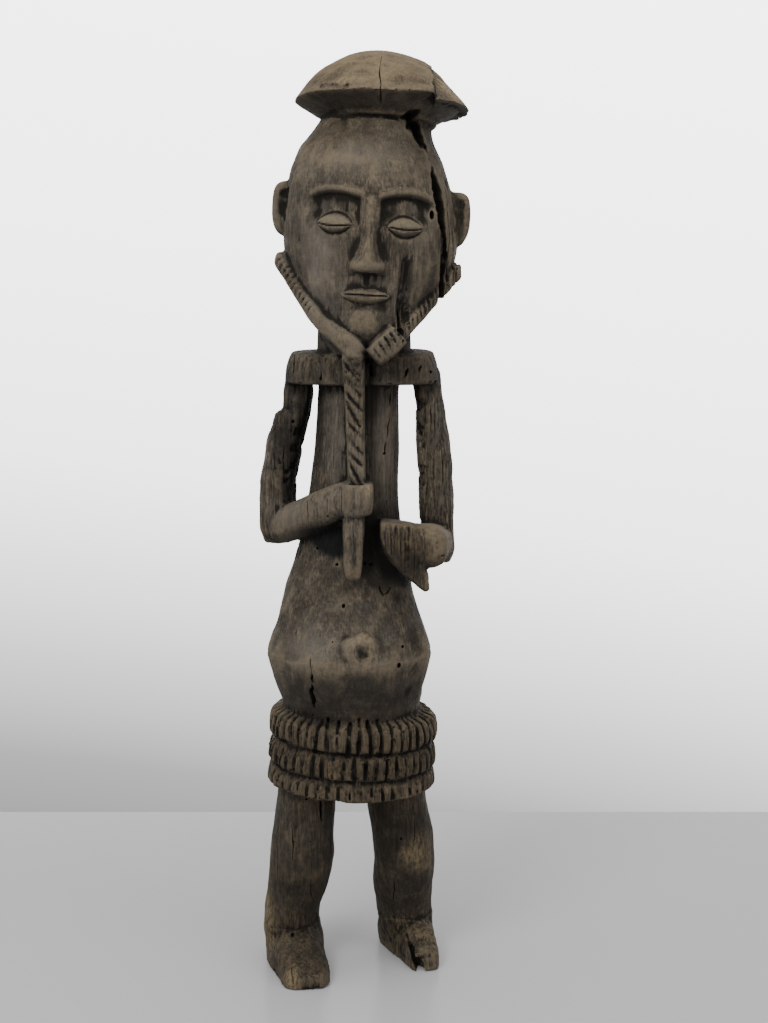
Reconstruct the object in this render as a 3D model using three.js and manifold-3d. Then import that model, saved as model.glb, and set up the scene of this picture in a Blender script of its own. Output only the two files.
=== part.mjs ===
// A standing male elder carved from one block of hardwood, about 85 cm tall: a flared cap on a long head,
// a hatched jaw beard that runs out into a plait, a bar of shoulders, free arms, a lozenge-shaped belly,
// a hip belt of three notched rings and two heavy legs with large feet.
// Millimetres, +Z up. The figure looks along -Y, so its own right side is at -X. The origin is on the
// floor, under the middle of the figure's bounding box. Left and right below are the viewer's.
import * as THREE from "three";
import { mergeVertices } from "three/addons/utils/BufferGeometryUtils.js";
import Module from "manifold-3d";

const wasm = await Module();
wasm.setup();
const degrees = THREE.MathUtils.degToRad;

// Driving dimensions.
const boxMiddle = new THREE.Vector3(4.4, -2, 0); // the bounding box's middle, seen from under the belt
const headPivot = new THREE.Vector3(5, 0, 590); // the top of the neck, where the head leans from
const headLean = degrees(3.6); // towards the viewer's right
const headHeight = 207; // chin to the cap's underside
const headHalfWidth = 77.5;
const headHalfDepth = 72;
const capRadius = 79;
const capHeight = 49.2;
const capTip = degrees(7.5); // the rim's front stands higher than its back
const shoulderLow = 557.5;
const shoulderHigh = 584.5;
const shoulderHalfWidth = 70;
const fistHeight = 459;
const handHeight = 415; // the other hand's, which held the bowl
const bellyHeight = 307; // the height of the belly's widest edge
const bellyHalfWidth = 77.6;
const bellyHalfDepth = 75;
const beltBottom = 178;
const beltTop = 254;
const beltRadius = 79.5;
const beltDepthShare = 0.93; // front to back, against side to side
const beltWaist = 6; // how far the belt draws in between two rings
const beltTeeth = 48;
const notchDepth = 5.5;
const beltLean = degrees(2.5);
const ringHeights = [192, 214, 235.5]; // the edge of each of the belt's rings
const plaitHalfWidth = 9.5;

// Face proportions, by the drawing-book rule of thirds and fifths.
const chin = 8;
const hairline = 190;
const third = (hairline - chin) / 3;
const noseBase = chin + third;
const brow = chin + 2 * third;
const eyeLine = brow - third / 3;
const eyeWidth = (2 * headHalfWidth) / 5;
const mouthLine = noseBase - third / 3;

// A closed geometry as a solid that can be cut and joined.
function solid(geometry) {
  const bare = geometry.clone();
  bare.deleteAttribute("normal");
  bare.deleteAttribute("uv");
  const merged = mergeVertices(bare, 1e-3);
  return new wasm.Manifold(
    new wasm.Mesh({
      numProp: 3,
      vertProperties: merged.attributes.position.array,
      triVerts: new Uint32Array(merged.index.array),
    }),
  );
}

const join = (pieces) => pieces.map(solid).reduce((whole, piece) => whole.add(piece));
const cut = (whole, cutters) => cutters.map(solid).reduce((left, cutter) => left.subtract(cutter), whole);
const bothSides = (make) => [-1, 1].flatMap((side) => make(side));

// The same geometry with every vertex moved by a function.
function shaped(geometry, move) {
  const place = geometry.attributes.position;
  const p = new THREE.Vector3();
  for (let i = 0; i < place.count; i++) {
    move(p.fromBufferAttribute(place, i));
    place.setXYZ(i, p.x, p.y, p.z);
  }
  return geometry;
}

// A smooth value of one property through a list of rows, at a place counted in rows.
function through(rows, key, place, fallback) {
  const i = Math.min(Math.floor(place), rows.length - 2);
  const f = place - i;
  const [a, b, c, d] = [i - 1, i, i + 1, i + 2].map(
    (k) => rows[THREE.MathUtils.clamp(k, 0, rows.length - 1)][key] ?? fallback,
  );
  return b + 0.5 * f * (c - a + f * (2 * a - 5 * b + 4 * c - d + f * (3 * (b - c) + d - a)));
}

// A point on a rounded outline: squareness 2 is an ellipse, and more is squarer.
function onOutline(angle, halfWidth, halfDepth, squareness) {
  const bulge = (v) => Math.sign(v) * Math.abs(v) ** (2 / squareness);
  return [halfWidth * bulge(Math.cos(angle)), halfDepth * bulge(Math.sin(angle))];
}

// How far a band's edge is cut in: every second one of a notched piece is.
const notchAt = (share, bands, notch) => (Math.round(share * bands) % 2 === 1 ? notch : 0);

// A column with level sections. Each row gives a height z, a middle x, y and the half-widths rx, ry.
// The bands between rows can be notched and slanted, for carved strands.
function column(rows, sides, bands = rows.length - 1, notch = 0, slant = 0) {
  return shaped(new THREE.CylinderGeometry(1, 1, 1, sides, bands), (p) => {
    const place = (p.y + 0.5) * (rows.length - 1);
    const value = (key, fallback) => through(rows, key, place, fallback);
    const reach = Math.hypot(p.x, p.z);
    const turn = degrees(value("turn", 0));
    const less = notchAt(p.y + 0.5, bands, notch);
    const halfSizes = [value("rx") - less, value("ry") - less];
    const [u, v] = onOutline(Math.atan2(-p.z, p.x), ...halfSizes, value("square", 2));
    const x = reach * (u * Math.cos(turn) - v * Math.sin(turn));
    const y = reach * (u * Math.sin(turn) + v * Math.cos(turn));
    p.set(value("x", 0) + x, value("y", 0) + y, value("z") + slant * x);
  });
}

// A limb whose sections stand square to its path. Each row gives a point and the half-widths across and up.
function limb(rows, sides, bands = rows.length - 1, squareness = 2.3, notch = 0) {
  const path = (place) => new THREE.Vector3(...["x", "y", "z"].map((key) => through(rows, key, place)));
  return shaped(new THREE.CylinderGeometry(1, 1, 1, sides, bands), (p) => {
    const place = (p.y + 0.5) * (rows.length - 1);
    const reach = Math.hypot(p.x, p.z);
    const ahead = path(Math.min(place + 0.01, rows.length - 1)).sub(path(Math.max(place - 0.01, 0)));
    const across = new THREE.Vector3(0, 0, 1).cross(ahead).normalize();
    const up = ahead.clone().cross(across).normalize();
    const less = notchAt(p.y + 0.5, bands, notch);
    const halfSizes = [through(rows, "across", place) - less, through(rows, "up", place) - less];
    const [u, v] = onOutline(Math.atan2(-p.z, p.x), ...halfSizes, squareness);
    p.copy(path(place)).addScaledVector(across, reach * u).addScaledVector(up, reach * v);
  });
}

// An ellipsoid with its own half-sizes, turned and placed.
function ball([x, y, z], [rx, ry, rz], turn = [0, 0, 0], sides = 12, bands = 8) {
  return new THREE.SphereGeometry(1, sides, bands)
    .rotateX(Math.PI / 2)
    .scale(rx, ry, rz)
    .applyMatrix4(new THREE.Matrix4().makeRotationFromEuler(new THREE.Euler(...turn)))
    .translate(x, y, z);
}

// A wedge that opens a split in the wood: it narrows from the surface to its root and to both ends.
function split(from, to, mouth, depth, inward) {
  const start = new THREE.Vector3(...from);
  const run = new THREE.Vector3(...to).sub(start);
  const into = new THREE.Vector3(...inward).normalize();
  const side = into.clone().cross(run).normalize();
  return shaped(new THREE.CylinderGeometry(1, 1, 1, 4, 4), (p) => {
    const share = p.y + 0.5;
    const swell = 0.2 + 0.8 * Math.sin(Math.PI * share);
    const [u, v] = [0.5 * mouth * swell * p.x, -depth * swell * p.z];
    p.copy(start).addScaledVector(run, share).addScaledVector(side, u).addScaledVector(into, v);
  });
}

// The head stands upright in its own frame, with the chin near height 0, and leans as one.
const leanHead = new THREE.Matrix4()
  .makeTranslation(headPivot)
  .multiply(new THREE.Matrix4().makeRotationY(headLean));
const leaning = (pieces) => pieces.map((piece) => piece.applyMatrix4(leanHead));

const skullRows = [
  { z: -6, x: 0, y: -24, rx: 28, ry: 34 },
  { z: 14, x: 0, y: -18, rx: 42, ry: 52 },
  { z: 38, x: 1, y: -10, rx: 57, ry: 62 },
  { z: 62, x: 1, y: -4, rx: 70, ry: 69 },
  { z: 86, x: 1, y: 0, rx: headHalfWidth, ry: headHalfDepth },
  { z: 116, x: -1, y: 1, rx: headHalfWidth - 1, ry: headHalfDepth + 1 },
  { z: 142, x: -2.7, y: 2, rx: 73.4, ry: 71 },
  { z: 160, x: -3.9, y: 3, rx: 68.3, ry: 67 },
  { z: 173, x: -4.8, y: 4, rx: 62.5, ry: 61 },
  { z: 186, x: -3.5, y: 5, rx: 54.5, ry: 55 },
  { z: headHeight, x: 1, y: 6, rx: 45, ry: 46 },
];

// The cap: a low dome with a sharp rim, whose underside draws in to the crown of the head.
function cap() {
  const profile = [
    [0, -24],
    [42, -24],
    [45.5, -16.5],
    [64, -7.5],
    [capRadius, 0],
    [75, 5.5],
    [70, 13],
    [65, 20.5],
    [57.5, 28],
    [44.5, 36.5],
    [26, 44.5],
    [0, capHeight],
  ];
  return new THREE.LatheGeometry(profile.map(([r, h]) => new THREE.Vector2(r, h)), 30)
    .rotateX(Math.PI / 2)
    .rotateX(-capTip)
    .translate(4, 5, headHeight + 5);
}

// A flat ear set on the side of the head, hollowed in front.
const ear = (side) => ball([side * 77, 6, 118], [11.5, 10, 23], [0, 0, side * 0.25], 12, 8);
const earHollow = (side) => ball([side * 82, -6, 119], [5, 9, 13], [0, 0, side * 0.25], 8, 6);

// The eye sockets are scooped out under arched brows, and a lidded almond lies in each.
const socketSize = [27, 19.5, 22];
const socketTurn = (side) => [-0.3, 0, -side * 0.38];
const lidSize = [eyeWidth / 2, 8, 8];
const slitSize = [eyeWidth / 2 - 2, 5.5, 1.3];
const socket = (side) => ball([side * (eyeWidth + 2), -79, eyeLine], socketSize, socketTurn(side), 16, 8);
const lid = (side) => ball([side * eyeWidth, -56.5, eyeLine], lidSize, [0, 0, -side * 0.42], 12, 6);
const lidSlit = (side) => ball([side * eyeWidth, -65, eyeLine], slitSize, [0, 0, -side * 0.42], 6, 4);

// The nose is a long wedge with a flat base.
const nose = () =>
  column(
    [
      { z: noseBase, y: -72, rx: eyeWidth / 2, ry: 16, square: 1.5 },
      { z: noseBase + 9, y: -72, rx: eyeWidth / 2 - 2, ry: 15.5, square: 1.5 },
      { z: noseBase + 26, y: -71, rx: 9, ry: 13, square: 1.5 },
      { z: eyeLine + 4, y: -69, rx: 7.5, ry: 9, square: 1.5 },
      { z: brow + 8, y: -64, rx: 13, ry: 8, square: 1.5 },
    ],
    10,
  );
const lips = () => ball([0, -68, mouthLine], [eyeWidth * 0.7, 9.5, 7.5], [0, 0, 0], 12, 6);
const lipSlit = () => ball([0, -79, mouthLine], [eyeWidth * 0.64, 7.5, 1.3], [0, 0, 0], 6, 4);

// The jaw beard: a raised, notched band from under each ear to the chin. The right one has split off
// short of the chin, and its last block sits lower and further out.
const jawRows = (side) => [
  { x: side * 79 + 1, y: -6, z: 77, across: 4, up: 4 },
  { x: side * 77 + 1, y: -12, z: 71, across: 7, up: 7 },
  { x: side * 65.5 + 1, y: -24, z: 56, across: 6.5, up: 7 },
  { x: side * 51.5, y: -40, z: 39, across: 6.5, up: 7 },
  { x: side * 36, y: -55, z: 22, across: 7, up: 7.5 },
  side < 0
    ? { x: -8, y: -69, z: 2, across: 8, up: 9 }
    : { x: 30, y: -61, z: 14, across: 6, up: 7 },
];
const jawBeard = (side) => limb(jawRows(side), 6, side < 0 ? 20 : 16, 3, 1.3);
const chinBlock = () =>
  limb(
    [
      { x: 31, y: -66, z: 17, across: 9, up: 10 },
      { x: 20, y: -70, z: 5, across: 9, up: 11 },
      { x: 10, y: -73, z: -5, across: 7, up: 8.5 },
    ],
    6,
    8,
    4,
    1.2,
  );

// An open hole under the cap runs on as one long split down the right of the head.
const headSplits = () => [
  split([24, -40, 204], [51, -44, 162], 20, 30, [-0.4, 1, 0.1]),
  split([50, -44, 172], [68, -33, 92], 8, 17, [-0.7, 1, 0]),
  split([68, -34, 108], [68, -27, 34], 9, 15, [-0.8, 1, 0]),
  split([31, -70, 112], [32, -62, 10], 7, 6, [-0.1, 1, 0]),
];

function makeHead() {
  const sides = (make) => leaning(bothSides(make));
  const skull = join(leaning([column(skullRows, 28), cap()])).add(join(sides(ear)));
  const hollowed = cut(skull, sides((side) => [socket(side), earHollow(side)]));
  const eyes = cut(join(sides(lid)), sides(lidSlit));
  const mouth = cut(join(leaning([lips()])), leaning([lipSlit()]));
  const beard = join([...sides(jawBeard), ...leaning([chinBlock()])]);
  const face = hollowed.add(eyes).add(mouth).add(beard).add(join(leaning([nose()])));
  return cut(face, leaning(headSplits()));
}

// The plait hangs from the chin over the shoulder bar and the chest to the fist, and its tail below.
const plait = () =>
  column(
    [
      { z: 470, x: 0, y: -52, rx: 8.5, ry: 13, square: 3 },
      { z: 490, x: -0.5, y: -50, rx: 8.5, ry: 14, square: 3 },
      { z: 515, x: -1, y: -49, rx: 9, ry: 14, square: 3 },
      { z: 550, x: -2, y: -52, rx: plaitHalfWidth, ry: 14, square: 3 },
      { z: 580, x: -2.6, y: -60, rx: plaitHalfWidth + 0.5, ry: 13, square: 3 },
      { z: 600, x: -3.5, y: -66, rx: plaitHalfWidth + 0.5, ry: 11, square: 3 },
    ],
    6,
    20,
    1.7,
    -0.9,
  );
const plaitTail = () =>
  column(
    [
      { z: 386, x: -3.5, y: -64, rx: 4, ry: 5, square: 3 },
      { z: 392, x: -3.5, y: -64, rx: 7, ry: 7, square: 3 },
      { z: 408, x: -3.5, y: -63, rx: 9.3, ry: 8, square: 3 },
      { z: 430, x: -3, y: -61, rx: 9.8, ry: 9, square: 3 },
      { z: 452, x: -2, y: -58, rx: 9.8, ry: 10, square: 3 },
    ],
    8,
  );

// Neck, shoulder bar, chest and belly.
const neck = () =>
  column(
    [
      { z: shoulderLow, x: 5, y: -2, rx: 43, ry: 40 },
      { z: headPivot.z + 22, x: 6, y: -2, rx: 42, ry: 42 },
    ],
    16,
  );
const shoulders = () =>
  column(
    [
      { z: shoulderLow, x: 3.8, y: 0, rx: shoulderHalfWidth, ry: 46, square: 2.8 },
      { z: shoulderLow + 14.5, x: 4, y: 0, rx: shoulderHalfWidth - 1.5, ry: 46, square: 2.8 },
      { z: shoulderHigh, x: 4.5, y: 0, rx: shoulderHalfWidth - 5.5, ry: 43, square: 2.8 },
    ],
    22,
  );
const trunk = () =>
  column(
    [
      { z: 240, x: -6, y: 0, rx: 60, ry: 60 },
      { z: 256, x: -6, y: -1, rx: 64.5, ry: 64 },
      { z: 281, x: -7.5, y: -2, rx: 71.5, ry: 70 },
      { z: bellyHeight, x: -8.7, y: -3, rx: bellyHalfWidth, ry: bellyHalfDepth },
      { z: 335, x: -8, y: -2, rx: 68.5, ry: 66 },
      { z: 364, x: -8.7, y: -1, rx: 61, ry: 58 },
      { z: 406, x: -6, y: 0, rx: 49.5, ry: 48 },
      { z: 451, x: -4.3, y: 0, rx: 41.7, ry: 42 },
      { z: 500, x: -1, y: 0, rx: 38.5, ry: 40 },
      { z: 540, x: 0.5, y: 0, rx: 36.8, ry: 39 },
      { z: 575, x: 3, y: 0, rx: 37, ry: 38 },
    ],
    24,
  );
const navel = () => ball([2, -67.5, 322], [17, 10, 15], [0, 0, 0], 12, 8);

// The belt: three rings, each with a sharp edge that is notched into teeth.
function belt() {
  const profile = [[0, beltBottom], [beltRadius - 2 * beltWaist, beltBottom]];
  ringHeights.forEach((height, i) => {
    profile.push([beltRadius, height]);
    if (i < ringHeights.length - 1) profile.push([beltRadius - beltWaist, height + 12]);
  });
  profile.push([66, beltTop], [0, beltTop]);
  const columns = 2 * beltTeeth;
  const rings = new THREE.LatheGeometry(profile.map(([r, h]) => new THREE.Vector2(r, h)), columns);
  const notched = shaped(rings, (p) => {
    const reach = Math.hypot(p.x, p.z);
    const place = Math.round((Math.atan2(p.x, p.z) / (2 * Math.PI)) * columns);
    const share = reach > 60 && place % 2 !== 0 ? 1 - notchDepth / reach : 1;
    p.set(p.x * share, p.y, p.z * share);
  });
  const leanShift = 0.5 * (beltBottom + beltTop) * Math.sin(beltLean);
  return notched
    .rotateX(Math.PI / 2)
    .scale(1, beltDepthShare, 1)
    .rotateY(beltLean)
    .translate(-6 - leanShift, -2, 0);
}

// Arms: flat upper arms that hang free of the chest, and forearms that come forward.
const leftUpperArm = () =>
  column(
    [
      { z: 408, x: -74, y: 2, rx: 12, ry: 13, square: 2.4 },
      { z: 424, x: -74, y: 2, rx: 17.5, ry: 20, square: 2.4 },
      { z: 447, x: -74, y: 2, rx: 16, ry: 22, square: 2.6, turn: -14 },
      { z: 472, x: -71.8, y: 2, rx: 16, ry: 22, square: 2.6, turn: -16 },
      { z: 500, x: -67.4, y: 2, rx: 16.8, ry: 21, square: 2.6, turn: -16 },
      { z: 522, x: -61, y: 2, rx: 15.5, ry: 20, square: 2.6, turn: -12 },
      { z: 533, x: -56.2, y: 2, rx: 12.6, ry: 19, square: 2.6, turn: -10 },
      { z: 547, x: -54, y: 2, rx: 13.2, ry: 19, square: 2.6, turn: -8 },
      { z: 568, x: -52, y: 2, rx: 13, ry: 18, square: 2.6 },
    ],
    12,
  );
const rightUpperArm = () =>
  column(
    [
      { z: 390, x: 75, y: 4, rx: 11, ry: 12, square: 2.4 },
      { z: 404, x: 73.5, y: 4, rx: 16.5, ry: 19, square: 2.4 },
      { z: 430, x: 72.6, y: 3, rx: 16.5, ry: 20, square: 2.6, turn: -8 },
      { z: 466, x: 71.6, y: 2, rx: 16.2, ry: 20, square: 2.6, turn: -10 },
      { z: 500, x: 69.7, y: 2, rx: 15.8, ry: 19, square: 2.6, turn: -10 },
      { z: 525, x: 67, y: 2, rx: 14, ry: 18, square: 2.6, turn: -8 },
      { z: 547, x: 64.2, y: 2, rx: 13.5, ry: 18, square: 2.6 },
      { z: 568, x: 61, y: 2, rx: 14, ry: 18, square: 2.6 },
    ],
    12,
  );
const leftForearm = () =>
  limb(
    [
      { x: -77, y: 10, z: 420, across: 12, up: 13 },
      { x: -72, y: 0, z: 424, across: 17, up: 17 },
      { x: -56, y: -21, z: 432, across: 17, up: 17 },
      { x: -34, y: -41, z: 445, across: 15.5, up: 16.5 },
      { x: -12, y: -55, z: fistHeight - 2, across: 13.5, up: 15.5 },
      { x: 6, y: -58, z: fistHeight + 1, across: 14, up: 15 },
    ],
    12,
  );
const fist = () =>
  column(
    [
      { z: fistHeight - 14, x: 0, y: -55, rx: 13.5, ry: 16, square: 4 },
      { z: fistHeight, x: 0, y: -56, rx: 14.8, ry: 17, square: 4 },
      { z: fistHeight + 13, x: 0, y: -55, rx: 13.8, ry: 16, square: 4 },
    ],
    12,
  );
const rightForearm = () =>
  limb(
    [
      { x: 76, y: 14, z: handHeight - 11, across: 12, up: 12 },
      { x: 73, y: 2, z: handHeight - 7, across: 17, up: 18 },
      { x: 67, y: -24, z: handHeight - 3, across: 19, up: 18.5 },
      { x: 62.5, y: -50, z: handHeight - 0.5, across: 20.5, up: 20.5 },
      { x: 61.5, y: -60, z: handHeight - 0.5, across: 18.5, up: 18 },
      { x: 61, y: -65, z: handHeight - 0.5, across: 11, up: 11 },
    ],
    12,
  );

// What is left of the bowl in the hand: a plate split off flat in front. Behind the break its wall
// swells out below and to the left.
const bowlSwell = 6.5;
function bowlFragment() {
  const rim = [
    [20, 438],
    [20.5, 424],
    [26, 411],
    [34.5, 399.5],
    [44, 390],
    [54, 381.5],
    [62, 375],
    [66.5, 377],
    [64.5, 387],
    [60, 398],
    [62, 415],
    [58, 433.5],
    [20, 438],
  ];
  const outline = new THREE.Shape();
  outline.moveTo(...rim[0]);
  rim.slice(1, -1).forEach((point) => outline.lineTo(...point));
  const plate = new THREE.ExtrudeGeometry(outline, { depth: 26, steps: 2, bevelEnabled: false });
  return shaped(plate.rotateX(Math.PI / 2).translate(0, -64 + 26, 0), (p) => {
    const below = THREE.MathUtils.smoothstep(434 - p.z, 0, 26) * (p.x > 59 && p.z > 380 ? 0 : 1);
    const out = bowlSwell * below * Math.sqrt((p.y + 64) / 26);
    p.x -= 0.55 * out;
    p.z -= 0.75 * out;
  });
}

// Legs, slightly bent, and flat-soled feet.
const leftLeg = () =>
  column(
    [
      { z: 0, x: -61, y: 4, rx: 28, ry: 30 },
      { z: 22, x: -63, y: 4, rx: 28.6, ry: 31 },
      { z: 45, x: -64.8, y: 3, rx: 27.4, ry: 30 },
      { z: 72, x: -59.6, y: 0, rx: 28.6, ry: 31 },
      { z: 100, x: -54.7, y: -6, rx: 31, ry: 33 },
      { z: 130, x: -52.8, y: -6, rx: 29.4, ry: 32 },
      { z: 160, x: -49.6, y: -4, rx: 29, ry: 31 },
      { z: 186, x: -47.5, y: -2, rx: 28.5, ry: 30 },
    ],
    16,
  );
const rightLeg = () =>
  column(
    [
      { z: 0, x: 47, y: 36, rx: 22, ry: 25, turn: 20 },
      { z: 20, x: 46, y: 31, rx: 26, ry: 28, turn: 10 },
      { z: 47, x: 43.7, y: 26, rx: 28, ry: 30 },
      { z: 72, x: 42.2, y: 18, rx: 29.4, ry: 31 },
      { z: 100, x: 43.6, y: 10, rx: 29.4, ry: 33 },
      { z: 130, x: 40.6, y: 8, rx: 29.8, ry: 32 },
      { z: 160, x: 35.4, y: 8, rx: 29.2, ry: 31 },
      { z: 186, x: 33, y: 8, rx: 28.5, ry: 30 },
    ],
    16,
  );
const leftFoot = () =>
  limb(
    [
      { x: -66, y: 36, z: 10, across: 16, up: 14 },
      { x: -65, y: 26, z: 12, across: 25, up: 24 },
      { x: -62, y: 0, z: 10, across: 28, up: 36 },
      { x: -56, y: -26, z: 8, across: 26, up: 30 },
      { x: -50, y: -48, z: 5, across: 24, up: 20 },
      { x: -47, y: -63, z: 3, across: 21, up: 14 },
      { x: -46, y: -71, z: 3, across: 13, up: 8 },
    ],
    12,
    6,
    2.6,
  );
const rightFoot = () =>
  limb(
    [
      { x: 36, y: 64, z: 10, across: 15, up: 13 },
      { x: 39, y: 53, z: 12, across: 23, up: 24 },
      { x: 49, y: 26, z: 10, across: 23.5, up: 34 },
      { x: 57, y: 2, z: 8, across: 18.5, up: 29 },
      { x: 61, y: -14, z: 5, across: 16, up: 21 },
      { x: 63, y: -26, z: 4, across: 13, up: 15 },
      { x: 63.5, y: -30, z: 4, across: 9, up: 9 },
    ],
    12,
    6,
    2.6,
  );
const toeCleft = () => split([44.5, -2, 36], [62.5, -50, 0], 11, 22, [0.3, 0.6, -1]);
const underFloor = () => new THREE.BoxGeometry(400, 400, 80).translate(0, 0, -40);

const body = join([
  neck(),
  shoulders(),
  trunk(),
  navel(),
  plait(),
  plaitTail(),
  belt(),
  leftUpperArm(),
  rightUpperArm(),
  leftForearm(),
  fist(),
  rightForearm(),
  bowlFragment(),
  leftLeg(),
  rightLeg(),
  leftFoot(),
  rightFoot(),
]);
const whole = cut(body.add(makeHead()), [toeCleft(), underFloor()]);

// The joined solid as a mesh of its own.
function meshOf(made) {
  const { vertProperties, triVerts } = made.getMesh();
  return new THREE.BufferGeometry()
    .setAttribute("position", new THREE.BufferAttribute(new Float32Array(vertProperties), 3))
    .setIndex(new THREE.BufferAttribute(new Uint32Array(triVerts), 1));
}

const oldWood = new THREE.MeshStandardMaterial({ color: 0x574b3d, roughness: 0.75, metalness: 0 });
const statuette = new THREE.Mesh(meshOf(whole), oldWood);
statuette.name = "statuette";
statuette.position.copy(boxMiddle).negate();

const figure = new THREE.Group();
figure.add(statuette);
export default figure;
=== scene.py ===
import math
from functools import partial

import bpy
import numpy as np
from mathutils import Matrix, Vector
from mathutils.bvhtree import BVHTree


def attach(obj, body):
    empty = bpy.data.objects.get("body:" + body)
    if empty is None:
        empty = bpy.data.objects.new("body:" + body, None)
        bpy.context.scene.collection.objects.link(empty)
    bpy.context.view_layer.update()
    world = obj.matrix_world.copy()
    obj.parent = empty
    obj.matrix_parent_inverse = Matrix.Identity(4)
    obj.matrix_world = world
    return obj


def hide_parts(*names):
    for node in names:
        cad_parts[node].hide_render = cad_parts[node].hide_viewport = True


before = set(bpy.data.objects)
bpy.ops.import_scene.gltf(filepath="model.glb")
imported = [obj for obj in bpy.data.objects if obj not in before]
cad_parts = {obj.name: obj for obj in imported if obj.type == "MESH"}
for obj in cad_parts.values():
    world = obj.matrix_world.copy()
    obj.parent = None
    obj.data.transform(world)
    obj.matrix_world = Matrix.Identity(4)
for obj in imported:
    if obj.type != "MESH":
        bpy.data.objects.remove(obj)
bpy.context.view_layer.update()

# The figure is carved in millimetres, with the same numbers as its solid. It looks along -Y, and
# left and right are the viewer's. A form is (points, faces), and closed.
mm = 0.001
boxMiddle = np.array([4.4, -2.0, 0.0])
# The grids on which forms are joined and cutters made one.
voxels = {"union": 1.4, "carving": 1.05, "splits": 1.1, "hatching": 0.7, "cracks": 0.45}
faceBudget = 192000


# A value of one column of the rows, smoothly through all of them; place counts in rows.
def through(rows, key, place, fallback=0.0):
    values = np.array([row.get(key, fallback) for row in rows], float)
    i = np.minimum(np.floor(place).astype(int), len(values) - 2)
    f = place - i
    a, b, c, d = (values[np.clip(i + k, 0, len(values) - 1)] for k in (-1, 0, 1, 2))
    return b + 0.5 * f * (c - a + f * (2 * a - 5 * b + 4 * c - d + f * (3 * (b - c) + d - a)))


def tabled(keys, *lines):
    names = keys.split()
    return [dict(zip(names, line)) for line in lines]


def unit(vectors):
    return vectors / np.linalg.norm(vectors, axis=1, keepdims=True)


# How far along a line each of its points is.
def runOf(line):
    return np.r_[0, np.cumsum(np.linalg.norm(np.diff(line, axis=0), axis=1))]


# A rounded outline: squareness 2 is an ellipse, more is squarer.
def outline(angle, halfWidth, halfDepth, squareness):
    bulge = lambda v: np.sign(v) * np.abs(v) ** (2 / squareness)
    return halfWidth * bulge(np.cos(angle)), halfDepth * bulge(np.sin(angle))


# Closes a stack of rings, shaped (rings, sides, 3), with a fan at each end.
def skin(rings):
    count, sides = rings.shape[:2]
    points = np.vstack([rings.reshape(-1, 3), rings[0].mean(0), rings[-1].mean(0)])
    i, j = (g.ravel() for g in np.meshgrid(np.arange(count - 1), np.arange(sides), indexing="ij"))
    a, b = i * sides + j, i * sides + (j + 1) % sides
    quads = np.stack([a, b, b + sides, a + sides], -1).tolist()
    k = np.arange(sides)
    after, top = (k + 1) % sides, (count - 1) * sides
    low = np.stack([after, k, np.full(sides, count * sides)], -1).tolist()
    high = np.stack([top + k, top + after, np.full(sides, count * sides + 1)], -1).tolist()
    return points, quads + low + high


def column(rows, sides=72, rings=90, square=2.0):
    place = np.linspace(0, len(rows) - 1, rings)[:, None]
    angle = np.linspace(0, 2 * np.pi, sides, endpoint=False)[None, :]
    value = lambda key, fallback=0.0: through(rows, key, place, fallback)
    u, v = outline(angle, value("rx"), value("ry"), value("square", square))
    turn = np.radians(value("turn"))
    x = value("x") + u * np.cos(turn) - v * np.sin(turn)
    y = value("y") + u * np.sin(turn) + v * np.cos(turn)
    return skin(np.stack([x, y, value("z") + 0 * x], -1))


# Points of a path at places counted in rows, its way there and the level way across it.
def pathOf(rows, place):
    path = lambda at: np.stack([through(rows, key, at) for key in "xyz"], -1)
    ahead = path(np.minimum(place + 0.01, len(rows) - 1)) - path(np.maximum(place - 0.01, 0))
    return path(place), ahead, unit(np.cross([0, 0, 1], ahead))


# A limb's sections stand square to its path.
def limb(rows, sides=56, rings=70, square=2.3):
    place = np.linspace(0, len(rows) - 1, rings)
    path, ahead, across = pathOf(rows, place)
    up = unit(np.cross(ahead, across))
    angle = np.linspace(0, 2 * np.pi, sides, endpoint=False)[None, :]
    halfSizes = (through(rows, key, place)[:, None] for key in ("across", "up"))
    u, v = outline(angle, *halfSizes, square)
    return skin(path[:, None] + u[..., None] * across[:, None] + v[..., None] * up[:, None])


def ball(middle, halfSizes, turn=0.0, tilt=0.0, sides=48, square=2.0):
    polar = np.linspace(-0.497 * np.pi, 0.497 * np.pi, sides // 2)[:, None]
    angle = np.linspace(0, 2 * np.pi, sides, endpoint=False)[None, :]
    reach, height = outline(polar, 1, 1, square)
    x, y = outline(angle, 1, 1, square)
    p = np.stack([x * reach, y * reach, height + 0 * x], -1) * halfSizes
    return skin(tilted(p, tilt, turn) + middle)


# Turns points about X, then about Z, in radians.
def tilted(p, tilt, turn):
    c, s = math.cos(tilt), math.sin(tilt)
    p = np.stack([p[..., 0], c * p[..., 1] - s * p[..., 2], s * p[..., 1] + c * p[..., 2]], -1)
    c, s = math.cos(turn), math.sin(turn)
    return np.stack([c * p[..., 0] - s * p[..., 1], s * p[..., 0] + c * p[..., 1], p[..., 2]], -1)


# Turns points about Y, in radians.
def leaned(p, angle):
    c, s = math.cos(angle), math.sin(angle)
    return np.stack([c * p[:, 0] + s * p[:, 2], p[:, 1], -s * p[:, 0] + c * p[:, 2]], -1)


# A turned form about Z, from a profile of (radius, height) whose ends lie on the axis.
def turned(profile, sides=160, step=2.0):
    line = np.array(profile, float)
    run = runOf(line)
    at = np.union1d(run, np.arange(0, run[-1], step))
    radius, height = (np.interp(at, run, line[:, k])[:, None] for k in (0, 1))
    angle = np.linspace(0, 2 * np.pi, sides, endpoint=False)[None, :]
    radius = np.maximum(radius, 0.05)
    return skin(np.stack([radius * np.cos(angle), radius * np.sin(angle), height + 0 * angle], -1))


# Half a section, its tip on the middle line, and the other half mirrored.
def bothSides(half, tip):
    return half + [(0.0, tip)] + [(-u, v) for u, v in half[::-1]]


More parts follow.
